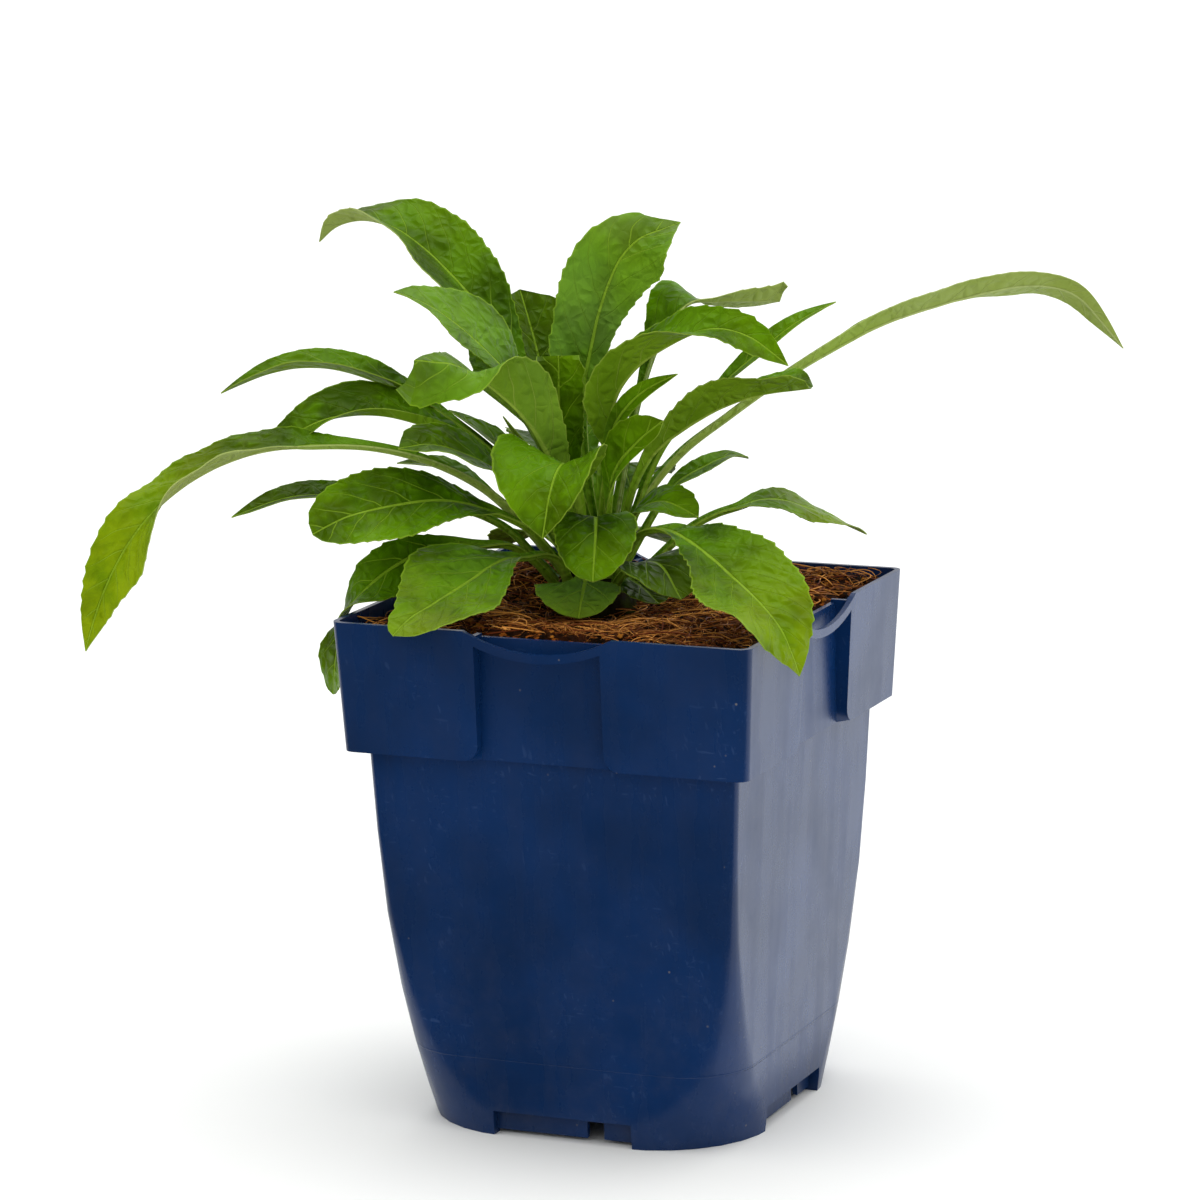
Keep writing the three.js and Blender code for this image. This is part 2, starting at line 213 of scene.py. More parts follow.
def new_group(name, inputs, outputs):
    """A shader node group with named sockets, its entry's outputs and its exit's inputs."""
    group = bpy.data.node_groups.new(name, "ShaderNodeTree")
    for label, kind, value in inputs:
        socket = group.interface.new_socket(label, in_out="INPUT", socket_type="NodeSocket" + kind)
        socket.default_value = value
    for label, kind in outputs:
        group.interface.new_socket(label, in_out="OUTPUT", socket_type="NodeSocket" + kind)
    entry = group.nodes.new("NodeGroupInput").outputs
    way_out = group.nodes.new("NodeGroupOutput").inputs
    return group, entry, way_out


def place_group(tree, group, inputs):
    """Places a node group, fills its inputs and hands out its outputs."""
    new = tree.nodes.new("ShaderNodeGroup")
    new.node_tree = group
    for name, value in inputs.items():
        fill(tree, new.inputs[name], value)
    return new.outputs


def new_material(name, **settings):
    """A material with one Principled shader, whose plain numbers are set on its own sockets."""
    material = bpy.data.materials.new(name)
    material.use_nodes = True
    shader = material.node_tree.nodes["Principled BSDF"]
    for label, value in settings.items():
        shader.inputs[label.replace("_", " ")].default_value = value
    return material, material.node_tree, shader


def dress(tree, shader, base, rough, normal):
    """Links what changes over the surface to the shader."""
    for label, value in (("Base Color", base), ("Roughness", rough), ("Normal", normal)):
        tree.links.new(value, shader.inputs[label])


# %% [markdown]
# ## Effects that several finishes share
# Old plastic is never clean: it carries fine scratches, a little dust and crumbs of the potting mix. The
# leaves carry a midrib, side veins that curve to the tip, and a net of small veins. Each is one node group.


# %% Scratches and dust
def make_scratches():
    """Fine hairlines: a noise that is drawn out long in one direction, and kept only at its peaks."""
    sockets = [("Vector", "Vector", (0, 0, 0)), ("Amount", "Float", 0.5)]
    group, entry, way_out = new_group("hairline scratches", sockets, [("Mask", "Float")])
    lines = None
    for turn, scale, level in ((0.25, 900, 0.66), (-0.9, 1100, 0.69), (1.35, 1000, 0.68)):
        turned = add(group, "Mapping", {"Vector": entry["Vector"], "Rotation": (turn, turn, 0)})
        drawn = add(group, "Mapping", {"Vector": turned.outputs[0], "Scale": (1, 1, 0.035)})
        peaks = patches(group, drawn.outputs[0], scale, 2.0, level, level + 0.05, rough=0.4)
        lines = peaks if lines is None else maths(group, "MAXIMUM", lines, peaks)
    kept = maths(group, "MULTIPLY", lines, patches(group, entry["Vector"], 45, 2.0, 0.45, 0.7))
    group.links.new(maths(group, "MULTIPLY", kept, entry["Amount"]), way_out["Mask"])
    return group


def make_dust():
    """Specks of dry mix, and a thin haze of dust that is thicker near the foot."""
    sockets = [("Vector", "Vector", (0, 0, 0)), ("Specks", "Float", 0.5), ("Haze", "Float", 0.3)]
    group, entry, way_out = new_group("dust", sockets, [("Mask", "Float"), ("Specks", "Float")])
    grains = add(group, "TexVoronoi", {"Vector": entry["Vector"], "Scale": 330.0, "Randomness": 1.0})
    size = ramp(group, grains.outputs["Distance"], 0.06, 0.13, 1.0, 0.0)
    chance = add(group, "SeparateColor", {"Color": grains.outputs["Color"]}).outputs[0]
    chosen = ramp(group, chance, 0.93, 0.95)
    drifts = patches(group, entry["Vector"], 60, 3.0, 0.4, 0.65)
    specks = maths(group, "MULTIPLY", maths(group, "MULTIPLY", size, chosen), drifts)
    specks = maths(group, "MULTIPLY", specks, entry["Specks"])
    height = add(group, "SeparateXYZ", {"Vector": entry["Vector"]}).outputs[2]
    low = ramp(group, height, 0.0, 75 * MM, 1.0, 0.25)
    film = maths(group, "MULTIPLY", patches(group, entry["Vector"], 130, 6.0, 0.4, 0.8, rough=0.7), low)
    film = maths(group, "MULTIPLY", film, entry["Haze"])
    group.links.new(maths(group, "MAXIMUM", specks, film), way_out["Mask"])
    group.links.new(specks, way_out["Specks"])
    return group


scratches = make_scratches()
dust = make_dust()
print("groups:", scratches.name, "and", dust.name)


# %% Veins
vein_spacing = 8.0
vein_stagger = 0.45
vein_slant, vein_curve = 1.1, 0.035


def make_veins():
    """The vein pattern of a leaf, from the two distances in millimetres that its mesh carries."""
    values = {"Along": 0.0, "Across": 0.0, "Share": 0.0, "Place": 0.0, "Spacing": vein_spacing}
    sockets = [(label, "Float", value) for label, value in values.items()]
    outputs = [("Midrib", "Float"), ("Side veins", "Float"), ("Net", "Float"), ("Cushions", "Float")]
    group, entry, way_out = new_group("leaf veins", sockets, outputs)

    def m(operation, *values):
        return maths(group, operation, *values)

    flat = add(group, "CombineXYZ", {"X": entry["Along"], "Y": entry["Across"]}).outputs[0]
    wander = m("MULTIPLY", m("SUBTRACT", cloud(group, flat, 0.12, 1.0), 0.5), 3.0)
    out = m("ABSOLUTE", entry["Across"])
    stagger = m("MULTIPLY", entry["Spacing"], vein_stagger)
    other_side = m("MULTIPLY", m("GREATER_THAN", entry["Across"], 0.0), stagger)
    lag = m("ADD", m("MULTIPLY", out, vein_slant), m("MULTIPLY", m("MULTIPLY", out, out), vein_curve))
    course = m("ADD", m("SUBTRACT", entry["Along"], lag), m("ADD", wander, other_side))
    turn = m("FRACT", m("DIVIDE", course, entry["Spacing"]))
    between = m("MULTIPLY", m("ABSOLUTE", m("SUBTRACT", turn, 0.5)), 2.0)
    gap = m("MULTIPLY", m("MULTIPLY", between, entry["Spacing"]), 0.5)
    fade = m("SUBTRACT", 1.0, m("POWER", entry["Share"], 3.0))
    line_half = m("ADD", 0.13, m("MULTIPLY", fade, 0.24))
    side = m("MULTIPLY", ramp(group, m("DIVIDE", gap, line_half), 0.1, 1.2, 1.0, 0.0), m("ADD", 0.1, fade))
    rib_half = m("ADD", 0.25, m("MULTIPLY", m("SUBTRACT", 1.0, entry["Place"]), 0.7))
    rib = ramp(group, m("DIVIDE", out, rib_half), 0.55, 1.15, 1.0, 0.0)
    wavy = m("ADD", entry["Along"], wander)
    follow = add(group, "CombineXYZ", {"X": wavy, "Y": entry["Across"]}).outputs[0]
    coarse = add(group, "TexVoronoi", {"Vector": follow, "Scale": 0.3}, feature="DISTANCE_TO_EDGE")
    fine = add(group, "TexVoronoi", {"Vector": follow, "Scale": 1.0}, feature="DISTANCE_TO_EDGE")
    net = ramp(group, coarse.outputs["Distance"], 0.0, 0.075, 1.0, 0.0)
    small = ramp(group, fine.outputs["Distance"], 0.0, 0.12, 0.35, 0.0)
    group.links.new(rib, way_out["Midrib"])
    group.links.new(m("MINIMUM", side, 1.0), way_out["Side veins"])
    group.links.new(m("MAXIMUM", net, small), way_out["Net"])
    domes = ramp(group, coarse.outputs["Distance"], 0.0, 0.5)
    group.links.new(m("MULTIPLY", domes, ramp(group, gap, 0.0, 2.0, 0.35, 1.0)), way_out["Cushions"])
    return group


veins = make_veins()
print("group:", veins.name)

# %% [markdown]
# ## The finishes of the leaf
# The upper side is a deep satin green that turns yellower towards an old tip. Some leaves carry patches of a
# painted sheen, a light grey-green, and every upper side has painted light on its puffs and painted shade in
# the creases between them. The underside is matte and paler, with the veins standing proud; it comes in two
# copies, an olive one with painted shade and the yellow of light through the leaf, and a lighter one with
# painted light for undersides that face the lit floor. They are separate materials, because one shader can't
# be waxy on one side of a thin wall and matte on the other. What differs from leaf to leaf, such as its tone
# and ripeness, is a number that each mesh carries, so all share them; the tone is partly a leaf's own green
# and partly painted shade.


# %% Leaf materials
def leaf_surface(name, deep, fresh, aged, vein, stem, rough, relief, **settings):
    """A leaf's finish in five greens; relief is 1 where the veins are sunk and -1 where they stand out."""
    material, tree, shader = new_material(name, **settings)
    inputs = {"Along": "along", "Across": "across", "Share": "share", "Place": "place"}
    pattern = place_group(tree, veins, {k: read(tree, v) for k, v in inputs.items()})
    spot = add(tree, "TexCoord").outputs["Object"]

    def m(operation, *values):
        return maths(tree, operation, *values)

    green = blend(tree, patches(tree, spot, 55, 3.0, 0.35, 0.65), colour(deep), colour(fresh))
    # Painted light and shade: the puffs between the veins get a fresher, lighter green as if lit, and the net
    # of small veins in the creases between them gets a deeper one, as if in shade.
    lift = m("MULTIPLY", pattern["Cushions"], patches(tree, spot, 110, 2.0, 0.35, 0.65, 0.1, 0.75))
    green = blend(tree, lift, green, colour(fresh))
    green = blend(tree, m("MULTIPLY", pattern["Net"], 0.22), green, colour(deep))
    # The tone darkens a leaf: partly its own deeper green, partly painted shade for leaves that lie in shade.
    shade = blend(tree, read(tree, "tone"), colour("8c8c8c"), colour("ffffff"))
    green = blend(tree, 1.0, green, shade, "MULTIPLY")
    old = m("MULTIPLY", read(tree, "ripe"), ramp(tree, read(tree, "place"), 0.4, 1.0))
    old = m("MULTIPLY", old, patches(tree, spot, 90, 3.0, 0.3, 0.6, 0.45, 1.0))
    green = blend(tree, old, green, colour(aged))
    # Painted sheen: patches of a light grey-green on some leaves, where they would mirror the bright sky.
    painted_sheen = m("MULTIPLY", read(tree, "painted_sheen"), patches(tree, spot, 34, 3.0, 0.35, 0.6, 0.25, 1.0))
    green = blend(tree, painted_sheen, green, colour("84b04c"))
    green = blend(tree, m("MULTIPLY", read(tree, "stalk"), 0.85), green, colour(stem))
    ribs = m("MULTIPLY", pattern["Midrib"], m("SUBTRACT", 0.62, m("MULTIPLY", read(tree, "stalk"), 0.35)))
    faint = patches(tree, spot, 26, 2.0, 0.4, 0.62, 0.1, 0.5)
    drawn = m("MAXIMUM", ribs, m("MULTIPLY", pattern["Side veins"], faint))
    green = blend(tree, drawn, green, colour(vein))
    edge = m("MULTIPLY", ramp(tree, read(tree, "share"), 0.955, 0.99), 0.5)
    green = blend(tree, edge, green, colour(vein))
    waxy = patches(tree, spot, 240, 4.0, 0.25, 0.75, rough - 0.07, rough + 0.09)
    lines = m("MAXIMUM", pattern["Midrib"], m("MULTIPLY", pattern["Side veins"], 0.5))
    form = m("SUBTRACT", m("MULTIPLY", pattern["Cushions"], 0.9), m("MULTIPLY", lines, 0.5))
    normal = bump(tree, m("MULTIPLY", form, relief), 0.8, 0.85)
    normal = bump(tree, cloud(tree, spot, 1500, 5.0, 0.7), 0.1, 0.3, normal)
    dress(tree, shader, green, waxy, normal)
    return material


yellowish = (0.62, 0.9, 0.25, 1)
leaf_top = leaf_surface(
    "leaf_upper_side", "294a01", "5a8b02", "93a907", "8fb32c", "659019", 0.38, 1.0,
    Specular_IOR_Level=0.14, Specular_Tint=yellowish,
)
# The olive underside is painted shade: the underside as it looks in shade, with the yellow of light through
# the leaf painted in.
leaf_under_painted_shade = leaf_surface(
    "leaf_underside_painted_shade", "587a0c", "6d8f1a", "8c9c26", "95ac42", "6c9118", 0.6, -1.0,
    Specular_IOR_Level=0.1, Specular_Tint=yellowish,
)
# The lighter underside is painted light: the underside as it looks where it faces the lit floor.
leaf_under_painted_light = leaf_surface(
    "leaf_underside_painted_light", "8ca046", "9aad5a", "a0aa48", "aebb74", "88a23c", 0.62, -1.0,
    Specular_IOR_Level=0.12, Specular_Tint=yellowish,
)
print("finishes:", leaf_top.name, leaf_under_painted_shade.name, leaf_under_painted_light.name)

# %% [markdown]
# ## The leaves
# A leaf is one blade on a channelled stalk: folded along its midrib, waved at its margin, toothed, and
# puffed up between its veins. It could be a flat grid bent by a Curve modifier, but a modifier can't fold,
# twist and curl it as the CAD sections do. So a grid primitive is laid along the sections of its CAD leaf,
# which keeps it in its place, and Solidify gives it its thickness.


# %% Read the sections of a CAD leaf
def neighbours(vertex):
    """The vertices at the other ends of a vertex's edges."""
    return [edge.other_vert(vertex) for edge in vertex.link_edges]


def loop_round(ring):
    """The six corners of a section, in order round it."""
    order = [ring[0]]
    while len(order) < len(ring):
        order.append(next(v for v in neighbours(order[-1]) if v in ring and v not in order))
    return order


def margin_length(loop, k):
    """How long side k of a section and the side across from it are together."""
    return np.linalg.norm(loop[k] - loop[k + 1]) + np.linalg.norm(loop[k + 3] - loop[(k + 4) % 6])


def read_sections(node, middle):
    """A leaf's spine, its half breadth as a vector and the rise of its margins, from seat to tip."""
    skin = bmesh.new()
    skin.from_mesh(node.data)
    bmesh.ops.remove_doubles(skin, verts=skin.verts, dist=1e-6)
    ends = [v for v in skin.verts if all(len(n.link_edges) == 5 for n in neighbours(v))]
    seat = min(ends, key=lambda v: (v.co - middle).length)
    rings = [[seat]]
    seen = {seat}
    while len(seen) < len(skin.verts):
        ring = []
        for vertex in rings[-1]:
            ring += [v for v in neighbours(vertex) if v not in seen and v not in ring]
        seen.update(ring)
        rings.append(ring)
    spine, halves, lifts = [], [], []
    for ring in rings[1:-1]:
        loop = [np.array(v.co) / MM for v in loop_round(ring)]
        k = min(range(3), key=lambda side: margin_length(loop, side))
        edge_a = (loop[k] + loop[k + 1]) / 2
        edge_b = (loop[k + 3] + loop[(k + 4) % 6]) / 2
        centre = (loop[(k + 2) % 6] + loop[(k + 5) % 6]) / 2
        spine.append(centre)
        halves.append((edge_a - edge_b) / 2)
        lifts.append((edge_a + edge_b) / 2 - centre)
    spine.append(np.array(rings[-1][0].co) / MM)
    skin.free()
    for k in range(1, len(halves)):
        if np.dot(halves[k], halves[k - 1]) < 0:
            halves[k] = -halves[k]
    widest = max(range(len(halves)), key=lambda k: np.linalg.norm(halves[k]))
    way = spine[widest + 1] - spine[widest - 1]
    if np.dot(np.cross(way, halves[widest]), lifts[widest]) < 0:
        halves = [-half for half in halves]
    halves.append(halves[-1] * 0.0)
    rises = [float(np.linalg.norm(lift)) for lift in lifts] + [0.0]
    return np.array(spine), np.array(halves), np.array(rises)


# %% Smooth curves through the sections
def smooth(at, places, values):
    """A smooth curve through the values, whose slope at each is measured from its neighbours."""
    slopes = np.gradient(values, places, axis=0)
    k = np.clip(np.searchsorted(places, at, side="right") - 1, 0, len(places) - 2)
    gap = places[k + 1] - places[k]
    t = (at - places[k]) / gap
    if values.ndim > 1:
        t, gap = t[:, None], gap[:, None]
    ahead, behind = values[k + 1], values[k]
    rest = (2 * t**3 - 3 * t**2 + 1) * behind + (3 * t**2 - 2 * t**3) * ahead
    return rest + gap * ((t**3 - 2 * t**2 + t) * slopes[k] + (t**3 - t**2) * slopes[k + 1])


def step(values, low, high):
    """0 below low, 1 above high, and a smooth change between them."""
    t = np.clip((values - low) / (high - low), 0, 1)
    return t * t * (3 - 2 * t)


def unit(vectors):
    """The vectors, each one long."""
    return vectors / np.maximum(np.linalg.norm(vectors, axis=-1, keepdims=True), 1e-9)


# %% [markdown]
# ### Habits
# No two leaves are alike. The plain habit says how far a margin waves, how long its teeth are, how much the
# blade is puffed up, how light it is (partly its own green, partly painted shade), how ripe its tip, how much
# painted sheen it has, whether its underside is the lighter copy with painted light, and how wide its stalk
# is.
# A leaf's own habit changes what differs from that. Its lists hold pairs of a place on the leaf, from 0 at
# the
# crown to 1 at the tip, and a value there: how many times wider each wing is, what its end adds in
# millimetres, how many degrees it folds, how far the midrib shifts or lies off the middle, and how many
# degrees the blade turns.

# %% The habit of each leaf
plain_habit = {
    "wave": 0.7, "teeth": 0.6, "puff": 0.35,
    "tone": 0.75, "ripe": 0.15, "painted_sheen": 0.0, "painted_lit_underside": False,
    "stalk": 1.4,
}
habits = {
    "leaf_left_long": {
        "wave": 1.0, "puff": 0.6, "ripe": 0.85, "stalk": 2.0, "painted_lit_underside": True,
        "left": [(0.2, 1), (0.35, 1.1), (0.5, 1.0), (0.6, 1.15), (0.75, 1.5), (1, 1)],
        "right": [(0.2, 1), (0.35, 1.9), (0.5, 2), (0.62, 1.3), (0.8, 1)],
        "fold_left": [(0.2, 0), (0.35, -12), (0.55, -12), (0.7, 0)],
        "fold_right": [(0.2, 0), (0.35, 12), (0.5, 12), (0.65, 0)],
    },
    "leaf_upper_left_curled": {
        "wave": 0.9, "puff": 0.5, "tone": 0.8, "ripe": 0.2, "painted_lit_underside": True,
        "off": [(0.2, 0), (0.45, -0.7), (0.8, -0.7), (1, 0)],
        "left": [(0.7, 1), (0.85, 0.8), (1, 0.8)],
    },
    "leaf_upper_left_front": {
        "wave": 0.5, "tone": 1.0, "painted_sheen": 0.25,
        "shift": [(0.2, (0, 0, 0)), (0.6, (0.3, 0.1, 1.4)), (0.85, (1, 0.4, 1.4)), (1, (2, 0.8, 1.4))],
        "right": [(0.3, 1), (0.6, 1.75), (1, 1.8)],
        "left": [(0.3, 1), (0.6, 0.75), (0.8, 0.85), (1, 1)],
        "fold_left": [(0.3, 0), (0.5, -14), (0.9, -14), (1, 0)],
    },
    "leaf_left_arching": {
        "wave": 0.35, "teeth": 0.25, "stalk": 1.8,
        "shift": [(0.3, (0, 0, 0)), (0.55, (0, 0, -0.5)), (0.9, (0, 0, -0.5)), (1, (0, 0, 0))],
    },
    "leaf_left_under": {
        "wave": 0.35, "teeth": 0.3, "tone": 0.8, "stalk": 1.8,
        "shift": [
            (0.3, (0, 0, 0)), (0.45, (0, 0, -0.6)), (0.6, (0, 0, -2)), (0.75, (0, 0, -2)), (1, (0, 0, 0)),
        ],
        "right": [(0.2, 1), (0.4, 1.3), (0.8, 1.25), (1, 1)],
        "left": [(0.2, 1), (0.4, 0.5), (0.7, 0.4), (0.9, 1)],
        "fold_left": [(0.2, 0), (0.35, 60), (0.65, 55), (0.9, 0)],
    },
    "leaf_left_spoon": {"wave": 0.4, "tone": 1.0, "round": 0.72},
    "leaf_left_far_small": {"wave": 0.3, "teeth": 0.3, "tone": 0.55},
    "leaf_left_drooping": {
        "wave": 0.5, "tone": 0.7, "round": 0.85,
        "turn": [(0.2, 0), (0.35, -50), (0.6, -50), (0.78, 0), (0.86, -30), (1, -30)],
        "left": [(0.2, 1), (0.4, 1.3), (0.7, 1.1), (0.88, 1.2), (1, 1.25)],
        "right": [(0.2, 1), (0.4, 1.25), (0.6, 1.02), (0.75, 0.9), (0.88, 1.15), (1, 1.2)],
    },
    "leaf_front_left_spoon": {
        "wave": 0.5, "puff": 0.5, "tone": 1.0, "ripe": 0.45, "painted_sheen": 0.15, "round": 0.78,
        "right": [(0.3, 1.1), (0.5, 1.6), (0.65, 1.3), (0.8, 0.85), (0.9, 0.5)],
        "left": [(0.4, 1), (0.6, 1.1), (0.75, 1.18), (0.9, 1)],
    },
    "leaf_front_heart": {
        "wave": 0.6, "tone": 0.95,
        "shift": [(0.6, (0, 0, 0)), (1, (0, 0, -1.2))],
        "right": [(0.4, 1), (0.55, 1.25), (0.85, 1.35), (1, 1.2)],
    },
    "leaf_front_low_heart": {
        "wave": 0.4, "tone": 0.75, "round": 0.6,
        "shift": [(0.2, (0, 0, 0)), (0.5, (1.4, 0.6, 0)), (1, (1.4, 0.6, 0))],
    },
    "leaf_front_bottom": {
        "wave": 0.5, "tone": 1.0, "ripe": 0.4, "painted_sheen": 0.3, "round": 0.55,
        "shift": [(0.4, (0, 0, 0)), (0.8, (0, 0, 1.3)), (1, (0, 0, 1.8))],
        "right": [(0.2, 1), (0.4, 1.5), (1, 1.4)],
        "left": [(0.2, 1), (0.4, 1.25), (1, 1.2)],
    },
    "leaf_right_front_big": {
        "wave": 1.1, "puff": 0.6, "teeth": 0.8, "tone": 0.65, "ripe": 0.5,
        "off": [(0.3, 0), (0.5, -3), (0.8, -3.5), (1, 0)],
        "right": [(0.4, 1), (0.6, 1.35), (0.75, 1.9), (0.9, 2.2), (1, 1.5)],
    },
    "leaf_right_dark": {
        "wave": 0.4, "tone": 0.3,
        "shift": [(0.3, (0, 0, 0)), (0.6, (1.5, 0.6, 1.2)), (1, (2, 0.8, 0.8))],
        "left": [(0.3, 1.2), (0.6, 1.4), (1, 1.3)],
        "right": [(0.15, 1), (0.3, 1.9), (0.5, 1.7), (0.8, 1.2)],
    },
    "leaf_right_short": {"left": [(0.3, 1.3), (0.5, 1.3), (0.7, 1)]},
    "leaf_right_small": {
        "tone": 0.9, "round": 0.85,
        "turn": [(0.4, 0), (0.58, 32), (1, 25)],
        "left": [(0.4, 0.8), (0.6, 0.7), (1, 0.7)],
        "right": [(0.4, 0.8), (0.6, 0.7), (1, 0.7)],
    },
    "leaf_right_droop": {
        "tone": 0.75, "ripe": 0.6,
        "fold_right": [(0.4, 0), (0.55, -24), (0.85, -28), (1, -10)],
    },
    "leaf_right_long": {
        "wave": 0.4, "teeth": 0.2, "tone": 0.75, "stalk": 2.3, "painted_lit_underside": True,
        "shift": [(0.5, (0, 0, 0)), (0.7, (0, 0, 0.4)), (0.9, (1.4, 0.6, 3.2)), (1, (0.6, 0.2, 0.4))],
        "left": [(0.2, 1.4), (0.42, 1.8), (0.54, 2.2), (0.64, 2.3), (0.74, 1.3), (0.9, 1.7)],
        "right": [(0.4, 1), (0.6, 0.9), (0.85, 0.85), (1, 0.9)],
        "fold_left": [(0.4, 0), (0.5, 14), (0.7, 14), (0.8, 0)],
    },
    "leaf_left_folded": {
        "wave": 0.5, "tone": 0.9, "painted_sheen": 0.12,
        "shift": [
            (0.55, (0, 0, 0)), (0.75, (-2, -0.8, 2.6)), (0.9, (0, 0, 5.3)), (1, (-1.8, -0.7, 11)),
        ],
        "left": [(0.2, 0.4), (0.3, 0.5), (0.45, 0.65), (0.58, 0.9), (0.7, 0.8), (1, 1)],
        "left_end": [(0.82, 0), (0.92, 3), (1, 11)],
        "right": [(0.2, 0.35), (0.55, 0.45), (0.65, 1.1), (0.78, 0.75), (0.9, 0.5), (1, 0.5)],
        "fold_left": [(0.3, 10), (0.6, 12), (0.75, 0), (0.9, -85), (1, -92)],
        "fold_right": [(0.3, 0), (0.6, 0), (0.8, -38), (1, -50)],
    },
    "leaf_left_short": {
        "wave": 0.5,
        "shift": [(0.3, (0, 0, 0)), (0.6, (0, 0, 2.2)), (1, (0, 0, 2.2))],
    },
    "leaf_top_big": {
        "wave": 0.7, "puff": 0.6, "tone": 1.0, "ripe": 0.2, "painted_sheen": 0.32,
        "off": [(0.4, 0), (0.6, 1.3), (0.8, 1.3), (0.95, 0)],
        "left": [(0.3, 1.2), (0.48, 1.75), (0.6, 1.12), (0.75, 1), (0.9, 1.08)],
        "right": [(0.3, 0.9), (0.45, 0.5), (0.6, 0.36), (0.75, 0.63), (0.9, 1.3), (1, 1.3)],
    },
    "leaf_top_dark": {"wave": 0.5, "tone": 0.3},
    "leaf_centre_upright": {
        "wave": 0.4, "tone": 0.7,
        "shift": [(0.2, (0, 0, 0)), (0.4, (-1.9, -0.8, 0)), (1, (-1.9, -0.8, 0))],
        "left_end": [(0.8, 0), (0.95, 2.5), (1, 5.2)],
        "right_end": [(0.8, 0), (0.95, 2.5), (1, 5.2)],
    },
    "leaf_right_slim": {
        "wave": 0.3, "teeth": 0.2, "tone": 0.9,
        "left": [(0.4, 1), (0.7, 0.8), (1, 0.8)],
        "right": [(0.4, 1), (0.7, 0.7), (1, 0.8)],
    },
    "leaf_right_blunt": {
        "wave": 0.6, "tone": 0.9,
        "left": [(0.6, 1), (0.75, 1.4), (0.9, 1.35)],
        "left_end": [(0.85, 0), (1, 3.5)],
        "right_end": [(0.85, 0), (1, 3)],
    },
    "leaf_right_tiny": {
        "tone": 0.8,
        "shift": [(0.3, (0, 0, 0)), (0.7, (0, 0, 1)), (1, (0, 0, 0.8))],
        "turn": [(0.3, 0), (0.55, 40), (1, 40)],
        "left": [(0.3, 0.8), (1, 0.8)],
        "right": [(0.3, 0.7), (1, 0.7)],
    },
    "leaf_right_inner": {
        "tone": 1.0,
        "shift": [(0.3, (0, 0, 0)), (0.6, (2, 0.8, 2)), (0.8, (4.5, 2, 2)), (1, (7, 3, 1.4))],
        "turn": [(0.3, 0), (0.55, 50), (1, 50)],
        "left": [(0.3, 0.8), (0.5, 0.75), (0.65, 1.1), (0.8, 1.3), (1, 1.1)],
        "right": [(0.3, 1), (0.5, 0.5), (0.8, 0.5), (1, 1)],
    },
    "leaf_upper_right_bent": {
        "wave": 0.8, "teeth": 0.7, "tone": 0.95,
        "shift": [
            (0.3, (0, 0, 0)), (0.45, (-2, -0.8, 1)), (0.6, (-1.5, -0.6, 2)), (0.75, (0, 0, 3.5)),
            (0.9, (0, 0, 2.6)), (1, (0, 0, 1.8)),
        ],
        "left": [(0.35, 1), (0.52, 1.4), (0.62, 1.2), (0.75, 0.75), (0.9, 0.8)],
        "right": [(0.3, 1.3), (0.42, 1.6), (0.5, 1.2), (0.6, 0.95), (0.75, 1)],
        "fold_right": [(0.3, 0), (0.6, -4), (0.75, -28), (0.9, -45)],
    },
    "leaf_upper_right_back": {
        "wave": 0.6, "tone": 1.0, "painted_lit_underside": True,
        "right": [(0.5, 0.5), (0.65, 0.3), (0.78, 0.2), (0.88, 0.8)],
        "left": [(0.5, 1.3), (0.62, 1.2), (0.74, 1.8), (0.84, 1.1), (1, 1.2)],
        "fold_left": [(0.55, 0), (0.73, 25), (0.82, 0)],
        "right_end": [(0.88, 0), (0.95, 2.5), (1, 6)],
    },
    "leaf_upper_left_pale": {
        "painted_lit_underside": True,
        "shift": [(0.5, (0, 0, 0)), (1, (0, 0, 1.2))],
        "left": [(0.5, 1), (0.85, 2), (1, 2)],
    },
    "leaf_left_low_pale": {"painted_lit_underside": True},
}


# %% What changes along a leaf
def along_leaf(habit, key, place, plain):
    """What changes along a leaf, from the habit's list of (place, value), or the plain value."""
    points = habit.get(key, [(0, plain), (1, plain)])
    places = np.array([point[0] for point in points], dtype=float)
    values = np.array([point[1] for point in points], dtype=float)
    return smooth(np.clip(place, places[0], places[-1]), places, values)


def on_each_side(habit, left_key, right_key, place, on_left, plain):
    """The same for the two wings of a blade, which need not be alike."""
    left = along_leaf(habit, left_key, place, plain)
    return np.where(on_left, left, along_leaf(habit, right_key, place, plain))


def rounded_tip(breadth, place, start):
    """Closes a blade with a round end from start on, in place of a pointed one."""
    rank = np.argsort(place, kind="stable")
    full = float(np.interp(start, place[rank], breadth[rank]))
    beyond = np.clip((place - start) / (1 - start), 0, 1)
    return np.where(place > start, full * np.sqrt(1 - beyond**2.2), breadth)


def midrib_frame(spine, halves, run, at, place, habit):
    """The midrib's place at each vertex of the blade, and the ways to its left and up from it."""
    length = run[-1]

    def spine_at(distance):
        return smooth(distance, run, spine) + along_leaf(habit, "shift", distance / length, (0, 0, 0))

    way = unit(spine_at(np.minimum(at + 0.4, length)) - spine_at(np.maximum(at - 0.4, 0)))
    steady = smooth(np.minimum(at, run[-2]), run[:-1], halves[:-1])
    left = unit(steady - way * np.sum(steady * way, axis=1, keepdims=True))
    up = np.cross(way, left)
    turn = np.radians(along_leaf(habit, "turn", place, 0))[:, None]
    left, up = left * np.cos(turn) + up * np.sin(turn), up * np.cos(turn) - left * np.sin(turn)
    return spine_at(at), left, up


